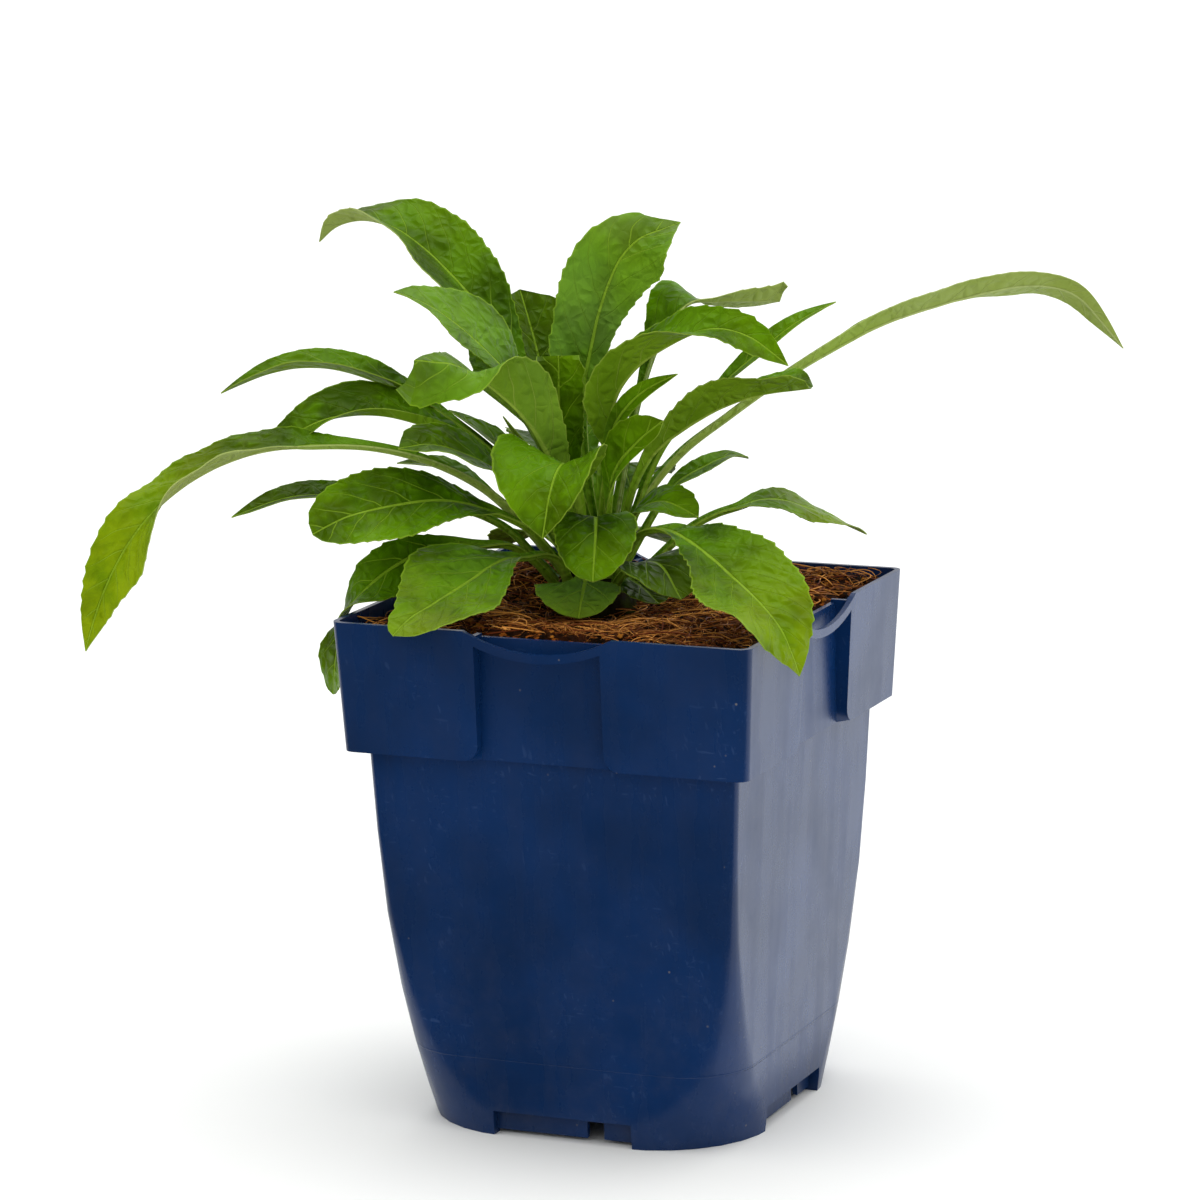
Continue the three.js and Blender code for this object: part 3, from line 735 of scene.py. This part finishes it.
# %% Lay a blade along the sections
def blade_heights(across, along, share, habit, seed):
    """How far the blade stands off its smooth form, in millimetres: its puffs and its waved margin."""
    dice = random.Random(seed)
    shifts = [dice.uniform(0, 2 * math.pi) for _ in range(6)]
    lag = vein_slant * np.abs(across) + vein_curve * across**2
    course = (along - lag) / vein_spacing + np.where(across > 0, vein_stagger, 0.0)
    puffs = habit["puff"] * np.sin(math.pi * course) ** 2 * np.sin(math.pi * np.clip(share, 0, 1) ** 0.8)
    uneven = np.sin(along / 5.1 + shifts[0]) * np.sin(across / 4.3 + shifts[1])
    puffs += 0.45 * habit["puff"] * uneven * share
    margin = np.sin(along / 4.2 + shifts[2] + np.where(across > 0, 1.7, 0.0))
    margin += 0.6 * np.sin(along / 2.3 + shifts[3] + np.where(across > 0, 0.0, 2.1))
    waves = habit["wave"] * 0.55 * margin * share**3
    return puffs + waves


thickest = 1.6
row_spacing, columns = 0.75, 26
tooth_spacing = 3.4
channel_fold = 24


def lay_blade(name, sections, habit, seed):
    """A grid laid along a leaf's sections, with what its materials read at each vertex."""
    spine, halves, rises = sections
    steps = np.linalg.norm(np.diff(spine, axis=0), axis=1)
    run = np.concatenate([[0.0], np.cumsum(steps)])
    length = run[-1]
    rows = int(np.clip(length / row_spacing, 40, 150))
    bpy.ops.object.select_all(action="DESELECT")
    bpy.ops.mesh.primitive_grid_add(x_subdivisions=columns, y_subdivisions=rows, size=1)
    leaf = bpy.context.active_object
    leaf.name = name
    leaf.data.name = name
    flat = corners(leaf) * MM
    side = 2 * flat[:, 0]
    place = np.clip(flat[:, 1] + 0.5, 0, 1)
    share = np.abs(side)
    on_left = side < 0
    sign = np.where(on_left, 1.0, -1.0)
    at = place * length
    middle, left, up = midrib_frame(spine, halves, run, at, place, habit)

    # How broad each wing is, and where the blade begins on its stalk
    half = np.linalg.norm(smooth(at, run, halves), axis=1)
    rise = np.maximum(smooth(at, run, rises), 0)
    breadth = np.hypot(half, rise)
    if "round" in habit:
        breadth = rounded_tip(breadth, place, habit["round"])
    breadth *= on_each_side(habit, "left", "right", place, on_left, 1)
    breadth += on_each_side(habit, "left_end", "right_end", place, on_left, 0)
    stalk_half = habit["stalk"] * (1 + 0.35 * (1 - step(place, 0.0, 0.08))) * (1 - step(place, 0.45, 0.8))
    stalk = (1 - step(breadth, 1.2 * habit["stalk"], 2.6 * habit["stalk"])) * (1 - step(place, 0.5, 0.7))
    held = (breadth**3 + stalk_half**3) ** (1 / 3)
    base = at[np.argmax(stalk < 0.5)] if np.any(stalk < 0.5) else 0.3 * length
    base = min(base, 0.5 * length)

    # The fold along the midrib, the teeth and the waves
    fold = np.arctan2(rise, np.maximum(half, 0.01)) * (1 - stalk) + np.radians(channel_fold) * stalk
    fold += np.radians(on_each_side(habit, "fold_left", "fold_right", place, on_left, 0))
    tooth = (at / tooth_spacing + 0.25 * np.sin(at / 5.7 + seed) + np.where(on_left, 0.37, 0.0)) % 1.0
    bite = habit["teeth"] * (tooth**1.6 - 0.45) * step(held, 2.0, 5.5) * share**7
    offset = along_leaf(habit, "off", place, 0)
    middle = middle + left * offset[:, None]
    held = held - sign * offset
    wing = held * share + bite
    bowed = fold * (0.55 + 0.45 * share**0.7)
    across = sign * wing
    heights = blade_heights(across, at - base, share, habit, seed) * step(held, 2.0, 7.0)
    lift = wing * np.sin(bowed) + heights * np.cos(bowed)
    sideways = sign * (wing * np.cos(bowed) - heights * np.sin(bowed))
    set_corners(leaf, middle + left * sideways[:, None] + up * lift[:, None])

    # How thick the leaf is, as a share for Solidify, and what its materials read
    rib = (0.2 + 0.75 * (1 - place)) * np.exp(-((across / (0.45 + 0.7 * (1 - place))) ** 2))
    depth = (0.32 + rib) * (1 - stalk) + stalk * (0.45 + 0.85 * np.exp(-((across / 0.9) ** 2)))
    depth *= 1 - 0.35 * place
    group = leaf.vertex_groups.new(name="depth")
    for k, share_of_depth in enumerate(depth / thickest):
        group.add([k], float(min(1, share_of_depth)), "REPLACE")
    places = {"along": at - base, "across": across, "share": share, "place": place, "stalk": stalk}
    for label, values in places.items():
        mark(leaf, label, values)
    for label in ("tone", "ripe", "painted_sheen"):
        mark(leaf, label, np.full(len(place), habit[label]))
    return leaf


def finish_leaf(leaf, underside):
    """Gives the blade its thickness and its two finishes."""
    leaf.data.materials.append(leaf_top)
    leaf.data.materials.append(underside)
    wall = leaf.modifiers.new("wall", "SOLIDIFY")
    wall.thickness = thickest * MM
    wall.offset = -1
    wall.vertex_group = "depth"
    wall.material_offset = 1
    wall.material_offset_rim = 1
    apply_modifiers(leaf)
    bpy.ops.object.shade_smooth_by_angle(angle=math.radians(50))
    leaf.vertex_groups.clear()


# %% Make every leaf
crown_low, crown_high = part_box("root_crown")
crown_middle = (crown_low + crown_high) / 2
leaf_triangles = 0
for order, node_name in enumerate(leaf_names):
    habit = {**plain_habit, **habits.get(node_name, {})}
    sections = read_sections(nodes[node_name], crown_middle)
    leaf = lay_blade(node_name.removeprefix("leaf_") + "_leaf", sections, habit, 100 + order)
    # A leaf whose underside faces the lit floor gets the lighter copy with painted light; the others get the
    # olive one with painted shade.
    finish_leaf(leaf, leaf_under_painted_light if habit["painted_lit_underside"] else leaf_under_painted_shade)
    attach(leaf, "root")
    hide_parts(node_name)
    leaf_triangles += triangles(leaf)
print("leaves made:", len(leaf_names), "triangles:", leaf_triangles)

# %% [markdown]
# One more small leaf hides low beside the crown, in the shade of the others. It has the form of the lowest
# front leaf, so that leaf's sections are turned about the crown and made smaller.

# %% The low leaf in the shade
spine, halves, rises = read_sections(nodes["leaf_front_bottom"], crown_middle)
heart = np.array(crown_middle) / MM
aside = turned_round(math.radians(46)).T
smaller = 0.87
low_sections = (heart + (spine - heart) @ aside * smaller, halves @ aside * smaller, rises * smaller)
# Its tone of 0.6 is painted shade: the leaf is darkened as one that lies under the others.
low_habit = {**plain_habit, "tone": 0.6, "round": 0.6, "shift": [(0.3, (0, 0, 0)), (1, (0, 0, 3.5))]}
low_leaf = lay_blade("low_shaded_leaf", low_sections, low_habit, 90)
finish_leaf(low_leaf, leaf_under_painted_shade)
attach(low_leaf, "root")
print("low leaf:", triangles(low_leaf), "triangles")

# %% [markdown]
# ## The pot
# The pot is thin blue polypropylene from a mould, with soft edges. Its CAD solid has every wall, recess and
# notch already, so a copy of it is merged into one skin and its hard edges are bevelled, as a mould's are.
# The panels of its collar have rounder lower corners, so those eight edges get a wide bevel first. Weighted
# normals then keep the flat walls flat: without them the soft edges would shade the faces beside them.


# %% A merged copy of a CAD node
def merged_copy(node_name, name):
    """A copy of a CAD node whose loose triangles are merged into one skin."""
    copy = copy_of(nodes[node_name], name)
    copy.data.materials.clear()
    only(copy)
    bpy.ops.object.mode_set(mode="EDIT")
    bpy.ops.mesh.select_all(action="SELECT")
    bpy.ops.mesh.remove_doubles(threshold=0.001 * MM)
    bpy.ops.mesh.dissolve_limited(angle_limit=math.radians(0.4))
    bpy.ops.object.mode_set(mode="OBJECT")
    return copy


# %% The pot
near_rim, lip_end = 129.5, 128.65
collar_foot, panel_side, panel_depth = 97.3, 16.6, 2.65
pot = merged_copy("pot", "square_pot")
for vertex in pot.data.vertices:
    near, far = sorted((abs(vertex.co.x) / MM, abs(vertex.co.y) / MM))
    if 16.5 < near < 18 and 49.2 < far < 53.5 and vertex.co.z > near_rim * MM:
        vertex.co.z = lip_end * MM
spots = np.abs(corners(pot))


def is_panel_corner(edge):
    """An edge that runs through the collar's wall at a lower inner corner of one of its panels."""
    a, b = (spots[k] for k in edge.vertices)
    low = abs(a[2] - collar_foot) < 0.05 and abs(b[2] - collar_foot) < 0.05
    depth = np.abs(a - b).sum()
    return low and abs(depth - panel_depth) < 0.05 and abs(min(a.min(), b.min()) - panel_side) < 0.1


print("lower corners of the collar panels:", edit_chosen(pot, "EDGE", is_panel_corner))
bpy.ops.mesh.bevel(offset=4 * MM, segments=5, affect="EDGES")
bpy.ops.object.mode_set(mode="OBJECT")
edges = pot.modifiers.new("moulded edges", "BEVEL")
edges.width = 0.35 * MM
edges.segments = 2
edges.limit_method = "ANGLE"
edges.angle_limit = math.radians(35)
edges.use_clamp_overlap = True
apply_modifiers(pot)
bpy.ops.object.shade_smooth_by_angle(angle=math.radians(32))
flat = pot.modifiers.new("flat faces", "WEIGHTED_NORMAL")
flat.keep_sharp = True
apply_modifiers(pot)
print("pot:", triangles(pot), "triangles")

# %% [markdown]
# The plastic is navy and satin. The mould's polish drew faint upright streaks in it, a fine witness line runs
# round it above the foot where the mould parts, and handling left hairline scratches and specks of the mix.

# %% Pot material
witness_line = 20


def make_pot_plastic():
    """Navy plastic with streaks, a witness line, scratches and specks."""
    material, tree, shader = new_material("navy_polypropylene", Specular_IOR_Level=0.2)
    spot = add(tree, "TexCoord").outputs["Object"]
    height = add(tree, "SeparateXYZ", {"Vector": spot}).outputs[2]
    lines = place_group(tree, scratches, {"Vector": spot, "Amount": 0.5})["Mask"]
    dirt = place_group(tree, dust, {"Vector": spot, "Specks": 0.6, "Haze": 0.04})
    blue = blend(tree, patches(tree, spot, 22, 3.0, 0.3, 0.7), colour("08254c"), colour("0b2d5c"))
    blue = blend(tree, maths(tree, "MULTIPLY", lines, 0.35), blue, colour("46608c"))
    blue = blend(tree, dirt["Mask"], blue, colour("8d8577"))
    drawn_out = add(tree, "VectorMath", {0: spot, 1: (1, 1, 0.07)}, operation="MULTIPLY").outputs[0]
    streaks = cloud(tree, drawn_out, 160, 3.0)
    rough = patches(tree, spot, 70, 5.0, 0.3, 0.75, 0.24, 0.32, rough=0.65)
    rough = maths(tree, "ADD", rough, ramp(tree, streaks, 0.35, 0.65, -0.03, 0.05))
    rough = maths(tree, "ADD", rough, maths(tree, "MULTIPLY", dirt["Mask"], 0.4), clamp=True)
    off_line = maths(tree, "ABSOLUTE", maths(tree, "SUBTRACT", height, witness_line * MM))
    normal = bump(tree, ramp(tree, off_line, 0.1 * MM, 0.35 * MM, 1.0, 0.0), 0.15, 0.6)
    normal = bump(tree, streaks, 0.05, 0.15, normal)
    normal = bump(tree, cloud(tree, spot, 420, 4.0, 0.6), 0.04, 0.2, normal)
    normal = bump(tree, maths(tree, "SUBTRACT", dirt["Specks"], lines), 0.08, 0.4, normal)
    dress(tree, shader, blue, rough, normal)
    return material


pot.data.materials.append(make_pot_plastic())
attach(pot, "root")
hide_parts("pot")

# %% [markdown]
# ## The potting mix
# Coir and peat: a rough dark bed, with crumbs on it and a tangle of tan fibres over them. The bed is a
# grid raised by noise, hollowed round the crown and let down at the walls. Displace could raise it too, but
# the fibres and crumbs must lie on it, so its height is a function that all three use. It covers the body of
# the CAD soil, whose lid is lowered.


# %% How high the bed is, and how far it reaches
crown_x, crown_y = -9.5, 4.5
bed_level = 124.3
hollow_radius, bank_breadth, bank_rise = 21, 18, 3.0
wall_gap = 0.8


def from_crown(x, y):
    """How far a place is from the middle of the crown, seen from above."""
    return math.hypot(x - crown_x, y - crown_y)


def bed_height(x, y):
    """The height of the bed at a place, in millimetres."""
    out = min(1.0, max(0.0, (from_crown(x, y) - hollow_radius) / bank_breadth))
    rise = bank_rise * out * out * (3 - 2 * out)
    lumps = 1.5 * noise.fractal(Vector((x / 9, y / 9, 3.1)), 0.7, 2.1, 3)
    grains = 0.55 * noise.noise(Vector((x / 1.7, y / 1.7, 8.2)))
    wall = max(abs(x), abs(y))
    fall = 1.1 * max(0.0, (wall - 42) / 10) ** 2
    front = 1.3 * math.exp(-((y + 44) ** 2) / 150 - ((x + 2) ** 2) / 1500)
    back = 1.6 * math.exp(-((x - 34) ** 2 + (y - 38) ** 2) / 420)
    dip = 2.3 * math.exp(-((x + 2) ** 2 + (y + 24) ** 2) / 150)
    return bed_level + rise + lumps + grains + front + back - fall - dip


def bed_limit(t):
    """How far the bed reaches to a wall: less far where the wall is set back."""
    return 48.6 if abs(t) < 18.6 else 52.9


def inside(x, y):
    """Whether what lies there is clear of the walls."""
    return abs(x) < bed_limit(y) - wall_gap and abs(y) < bed_limit(x) - wall_gap


# %% The bed
soil = merged_copy("soil", "potting_mix_bed")
edit_chosen(soil, "VERT", lambda vertex: vertex.co.z > 118 * MM)
bpy.ops.transform.translate(value=(0, 0, -5 * MM))
bpy.ops.object.mode_set(mode="OBJECT")

bpy.ops.object.select_all(action="DESELECT")
bpy.ops.mesh.primitive_grid_add(x_subdivisions=130, y_subdivisions=130, size=107 * MM)
bed = bpy.context.active_object
spots = corners(bed)
for k, (x, y, _) in enumerate(spots):
    x, y = np.clip(x, -bed_limit(y), bed_limit(y)), np.clip(y, -bed_limit(x), bed_limit(x))
    spots[k] = (x, y, bed_height(x, y))
set_corners(bed, spots)
only(bed)
bpy.ops.object.mode_set(mode="EDIT")
bpy.ops.mesh.select_all(action="SELECT")
bpy.ops.mesh.region_to_loop()
bpy.ops.mesh.extrude_region_move(TRANSFORM_OT_translate={"value": (0, 0, -6 * MM)})
bpy.ops.object.mode_set(mode="OBJECT")
join([soil, bed], "potting_mix_bed")
bpy.ops.object.shade_smooth_by_angle(angle=math.radians(60))
print("bed:", triangles(soil), "triangles")


# %% Potting mix material
def make_mix(name, dark, mid, light, rough_low):
    """Damp peat in three browns: dark between its grains with painted shade, and lighter on a few of them."""
    material, tree, shader = new_material(name, Specular_IOR_Level=0.05)
    spot = add(tree, "TexCoord").outputs["Object"]
    grain = cloud(tree, spot, 700, 6.0, 0.7)
    brown = blend(tree, patches(tree, spot, 140, 5.0, 0.35, 0.65, rough=0.65), colour(dark), colour(mid))
    cells = add(tree, "TexVoronoi", {"Vector": spot, "Scale": 900.0})
    tint = add(tree, "SeparateColor", {"Color": cells.outputs["Color"]}).outputs[0]
    brown = blend(tree, ramp(tree, tint, 0.7, 0.95), brown, colour(light))
    # Painted shade: where the fine noise is low, the dark brown stands for the shade in the hollows between
    # grains.
    brown = blend(tree, ramp(tree, grain, 0.25, 0.5, 0.6, 0.0), brown, colour(dark))
    normal = bump(tree, cloud(tree, spot, 420, 6.0, 0.75), 0.8, 0.9)
    normal = bump(tree, cells.outputs["Distance"], 0.3, 0.6, normal)
    dress(tree, shader, brown, ramp(tree, grain, 0.3, 0.7, rough_low, 0.95), normal)
    return material


soil.data.materials.clear()
soil.data.materials.append(make_mix("coir_and_peat", "0d0602", "361806", "8f4e16", 0.7))
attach(soil, "root")
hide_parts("soil")

# %% [markdown]
# ### Fibres
# Coir is the husk of a coconut: stiff tan hairs, curved and tangled. Hair curves would do it in a render
# only, so each fibre is a mesh. One is a four-sided rod; each copy is bent along its own arc, a few given one
# by one where they catch the eye and the rest by chance, and all the copies are joined at the end.


# %% One straight fibre
bpy.ops.object.select_all(action="DESELECT")
bpy.ops.mesh.primitive_cylinder_add(vertices=4, radius=1 * MM, depth=1 * MM)
rod = bpy.context.active_object


def runs_lengthwise(edge):
    """Whether an edge runs from one end of the rod to the other."""
    low, high = (rod.data.vertices[k].co.z for k in edge.vertices)
    return abs(low - high) > 0.5 * MM


edit_chosen(rod, "EDGE", runs_lengthwise)
bpy.ops.mesh.subdivide(number_cuts=8)
bpy.ops.object.mode_set(mode="OBJECT")
print("rod:", triangles(rod), "triangles")


# %% Bend copies of it
def fibre(name, start, end, sag, thick, tone, kink=0.0):
    """A copy of the rod, bent from start to end, bowed by sag and thinned at both ends."""
    piece = copy_of(rod, name)
    flat = corners(piece)
    t = np.clip(flat[:, 2] + 0.5, 0, 1)
    start, end, sag = (np.array(v, dtype=float) for v in (start, end, sag))
    bow = 4 * t * (1 - t)
    swing = np.sin(2 * math.pi * t) * kink
    line = start + np.outer(t, end - start) + np.outer(bow, sag) + np.outer(swing, np.cross(sag, [0, 0, 1]))
    way = unit(end - start)
    across = unit(np.cross(way, [0.13, 0.21, 0.97]))
    other = np.cross(way, across)
    width = thick * (0.35 + 0.65 * np.sin(math.pi * np.clip(t, 0.05, 0.95)) ** 0.5)
    round_it = np.outer(flat[:, 0] * width, across) + np.outer(flat[:, 1] * width, other)
    set_corners(piece, line + round_it)
    mark(piece, "tone", np.full(len(t), tone))
    return piece


dice = random.Random(7)
fibre_count = 1750
strands = [
    fibre("strand", (2.5, 21, 124), (1, 19, 135), (1.5, 0, 0), 0.2, 0.9),
    fibre("strand", (25, 51, 128), (45, 38, 126), (3, 3, 1.5), 0.2, 1.0),
    fibre("strand", (30, 50, 128), (47, 41, 126.5), (1, 2, 2.5), 0.16, 0.8),
    fibre("strand", (-38, -22, 126), (-26, -14, 128), (2, -3, 1), 0.22, 1.0),
    fibre("strand", (-30, -30, 126), (-4, -34, 127), (0, -4, 2.5), 0.2, 0.9),
    fibre("strand", (8, -40, 127), (30, -46, 127), (0, 4, 2), 0.18, 0.8),
]
fine, middling, coarse = (3, 9, 0.06, 0.1), (5, 14, 0.1, 0.15), (7, 20, 0.14, 0.22)
sorts = [fine] * 5 + [middling] * 3 + [coarse] * 2
while len(strands) < fibre_count:
    x, y = dice.uniform(-52, 52), dice.uniform(-52, 52)
    heading = dice.uniform(0, 2 * math.pi)
    shortest, longest, thin, thick = dice.choice(sorts)
    reach = dice.uniform(shortest, longest)
    end_x, end_y = x + reach * math.cos(heading), y + reach * math.sin(heading)
    if not (inside(x, y) and inside(end_x, end_y)) or from_crown(x, y) < 10.5:
        continue
    start = (x, y, bed_height(x, y) + dice.uniform(-0.3, 0.4))
    end = (end_x, end_y, bed_height(end_x, end_y) + dice.uniform(-0.4, 0.9) + dice.choice([0, 0, 0, 1.4]))
    bow = dice.uniform(-0.5, 0.5) * reach
    sag = (-bow * math.sin(heading), bow * math.cos(heading), dice.uniform(0.1, 0.8) + 0.07 * reach)
    tone = dice.random() ** 1.8
    strands.append(fibre("strand", start, end, sag, dice.uniform(thin, thick), tone, dice.uniform(-0.7, 0.7)))
coir = join(strands, "coir_fibres")
bpy.ops.object.shade_smooth()
bpy.data.objects.remove(rod)
print("fibres:", len(strands), "triangles:", triangles(coir))


# %% Fibre material
def make_fibre():
    """Tan to brown from fibre to fibre, with darker stretches along each."""
    material, tree, shader = new_material("coir_fibre", Specular_IOR_Level=0.1)
    spot = add(tree, "TexCoord").outputs["Object"]
    tan = blend(tree, read(tree, "tone"), colour("642a08"), colour("f3a850"))
    tan = blend(tree, patches(tree, spot, 500, 4.0, 0.45, 0.8, 0.0, 0.55), tan, colour("54290b"))
    rough = patches(tree, spot, 900, 2.0, 0.3, 0.7, 0.4, 0.65)
    dress(tree, shader, tan, rough, bump(tree, cloud(tree, spot, 2500, 3.0), 0.05, 0.5))
    return material


coir.data.materials.clear()
coir.data.materials.append(make_fibre())
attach(coir, "root")

# %% [markdown]
# ### Crumbs
# Lumps of peat and bark lie between the fibres. One lump is an icosphere pulled about by noise, and each
# copy has its own size, place and flatness.

# %% Make the crumbs
bpy.ops.object.select_all(action="DESELECT")
bpy.ops.mesh.primitive_ico_sphere_add(subdivisions=2, radius=1 * MM)
lump = bpy.context.active_object
ball = corners(lump)
crumb_count = 520
crumbs = []
while len(crumbs) < crumb_count:
    x, y = dice.uniform(-51, 51), dice.uniform(-51, 51)
    if not inside(x, y) or from_crown(x, y) < 9:
        continue
    crumb = copy_of(lump, "crumb")
    size = dice.choice([0.4, 0.55, 0.7, 0.9, 1.2]) * dice.uniform(0.8, 1.4)
    pulled = [noise.noise(Vector(p) * 0.9 + Vector((len(crumbs), 0, 0))) for p in ball]
    flatness = [1, dice.uniform(0.5, 1), dice.uniform(0.45, 0.9)]
    shaped = ball * (1 + 0.75 * np.array(pulled))[:, None] * flatness
    turned = shaped @ turned_round(dice.uniform(0, 2 * math.pi)).T
    set_corners(crumb, turned * size + [x, y, bed_height(x, y) + 0.25 * size])
    crumbs.append(crumb)
bpy.data.objects.remove(lump)
peat = join(crumbs, "peat_crumbs")
bpy.ops.object.shade_smooth_by_angle(angle=math.radians(45))
peat.data.materials.clear()
peat.data.materials.append(make_mix("peat_crumb", "1c0d04", "5a2e0c", "9c6220", 0.6))
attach(peat, "root")
print("crumbs:", triangles(peat), "triangles")

# %% [markdown]
# ## The crown
# All the leaves rise from a short woody crown, half sunk in the mix. It is a sphere pulled into ribs, where
# the bases of the stalks sit against each other.

# %% Crown
bpy.ops.object.select_all(action="DESELECT")
bpy.ops.mesh.primitive_uv_sphere_add(segments=96, ring_count=48, radius=10.9 * MM, location=crown_middle)
crown = bpy.context.active_object
crown.name = "leaf_crown"
bpy.ops.object.transform_apply(location=True, rotation=False, scale=False)
away = corners(crown) - heart
turns = np.arctan2(away[:, 1], away[:, 0])
steep = np.arccos(np.clip(away[:, 2] / np.linalg.norm(away, axis=1), -1, 1))
ribs = 0.5 * np.abs(np.sin(turns * 11 + steep * 2.2)) + 0.3 * np.sin(turns * 5 + 1.0) * np.sin(steep * 4)
set_corners(crown, heart + away * (1 - 0.05 * (1 - ribs))[:, None])
only(crown)
bpy.ops.object.shade_smooth()


def make_crown():
    """Dark woody green, browner in patches."""
    material, tree, shader = new_material("crown_wood", Specular_IOR_Level=0.03)
    spot = add(tree, "TexCoord").outputs["Object"]
    body = blend(tree, patches(tree, spot, 260, 5.0, 0.35, 0.65), colour("1a1a05"), colour("30380a"))
    body = blend(tree, patches(tree, spot, 120, 4.0, 0.4, 0.7, 0.0, 0.9), body, colour("2c180a"))
    rough = patches(tree, spot, 400, 4.0, 0.3, 0.7, 0.5, 0.8)
    dress(tree, shader, body, rough, bump(tree, cloud(tree, spot, 500, 5.0), 0.4, 0.7))
    return material


crown.data.materials.append(make_crown())
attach(crown, "root")
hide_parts("root_crown")
print("crown:", triangles(crown), "triangles")

# %% [markdown]
# ## Floor, light and camera
# The pot stands in a white room: a wide floor, light from all around that is brightest above and behind, and
# a broad soft lamp almost straight overhead. The camera sees the sky as plain white.

# %% Floor
bpy.ops.object.select_all(action="DESELECT")
bpy.ops.mesh.primitive_plane_add(size=14)
floor = bpy.context.active_object
floor.name = "studio_floor"
near_white = (0.905, 0.912, 0.898, 1)
paper, _, _ = new_material("white_paper", Base_Color=near_white, Roughness=0.9, Specular_IOR_Level=0.0)
floor.data.materials.append(paper)

# %% Light
world = bpy.data.worlds.new("studio")
bpy.context.scene.world = world
world.use_nodes = True
sky = world.node_tree
sky.nodes.clear()
direction = add(sky, "TexCoord").outputs["Generated"]


def lit_from(side, low, high, dark, light):
    """A sky that is light towards one side and dark away from it."""
    facing = add(sky, "VectorMath", {0: direction, 1: side}, operation="DOT_PRODUCT")
    return ramp(sky, facing.outputs["Value"], low, high, dark, light)


diffuse_light = lit_from((0.15, 0.45, 0.88), -0.9, 0.9, 0.5, 1.2)
gloss_light = lit_from((0.40, 0.88, 0.25), -0.25, 0.65, 0.02, 1.0)
paths = add(sky, "LightPath").outputs
strength = add(sky, "Mix", {0: paths["Is Glossy Ray"], 2: diffuse_light, 3: gloss_light}).outputs[0]
white = (1, 1, 1, 1)
soft = add(sky, "Background", {"Color": white, "Strength": strength}).outputs[0]
seen = add(sky, "Background", {"Color": white, "Strength": 1.0}).outputs[0]
both = add(sky, "MixShader", {0: paths["Is Camera Ray"], 1: soft, 2: seen})
sky.links.new(both.outputs[0], add(sky, "OutputWorld").inputs["Surface"])

lamp = bpy.data.lights.new("soft_lamp", "SUN")
lamp.energy = 0.8
lamp.angle = math.radians(45)
lamp_object = bpy.data.objects.new("soft_lamp", lamp)
bpy.context.scene.collection.objects.link(lamp_object)
lamp_object.rotation_euler = Vector((-0.02, 0.15, 1.0)).to_track_quat("Z", "Y").to_euler()

# %% [markdown]
# A satin pot looks like what it mirrors. As a product photographer does, cards are set round it: black ones
# before its left side, which keep that side deep, and white ones beyond its right side, which give that side
# its pale sheen. Only glossy rays see them, so they change no other light and never show.


# %% Cards for the sheen of the pot
def studio_card(name, card_corners, glow):
    """A card that is seen only where something glossy mirrors it."""
    bpy.ops.object.select_all(action="DESELECT")
    bpy.ops.mesh.primitive_plane_add(size=1)
    card = bpy.context.active_object
    card.name = name
    set_corners(card, card_corners)
    plain = {"Roughness": 1.0, "Specular_IOR_Level": 0.0, "Base_Color": (0.004, 0.004, 0.004, 1)}
    face, _, _ = new_material(name, **plain, Emission_Color=(0.88, 0.92, 1, 1), Emission_Strength=glow)
    card.data.materials.append(face)
    card.visible_camera = False
    card.visible_diffuse = False
    card.visible_shadow = False
    card.visible_transmission = False


studio_card("black_card", [(-1500, -190, 0), (1500, -190, 0), (-1500, -260, 700), (1500, -260, 700)], 0.0)
studio_card("black_mat", [(-1200, -1200, 1), (900, -1200, 1), (-1200, -57, 1), (900, -57, 1)], 0.0)
studio_card("white_mat", [(58, -50, 1), (900, -50, 1), (58, 900, 1), (900, 900, 1)], 1.9)
studio_card("white_card", [(700, 240, -5), (75, 240, -5), (700, 280, 400), (75, 280, 400)], 1.9)

# %% [markdown]
# The camera stands well back with a long lens, a little above the rim, and looks at the corner between the
# pot's two sides. Its three directions are written out, because they were fitted to the rim and the foot.

# %% Camera
eye = Vector((480.81, -1146.61, 373.69)) * MM
right = Vector((0.92153, 0.38796, -0.01629))
up = Vector((-0.06031, 0.18445, 0.98099))
back = right.cross(up)
camera_data = bpy.data.cameras.new("studio_camera")
camera_data.sensor_fit = "HORIZONTAL"
camera_data.sensor_width = 36
camera_data.lens = 151.76
camera_data.clip_start = 0.05
camera = bpy.data.objects.new("studio_camera", camera_data)
bpy.context.scene.collection.objects.link(camera)
turned = Matrix((right, up, back)).transposed().to_4x4()
camera.matrix_world = Matrix.Translation(eye) @ turned
bpy.context.scene.camera = camera
bpy.context.scene.view_settings.view_transform = "Standard"
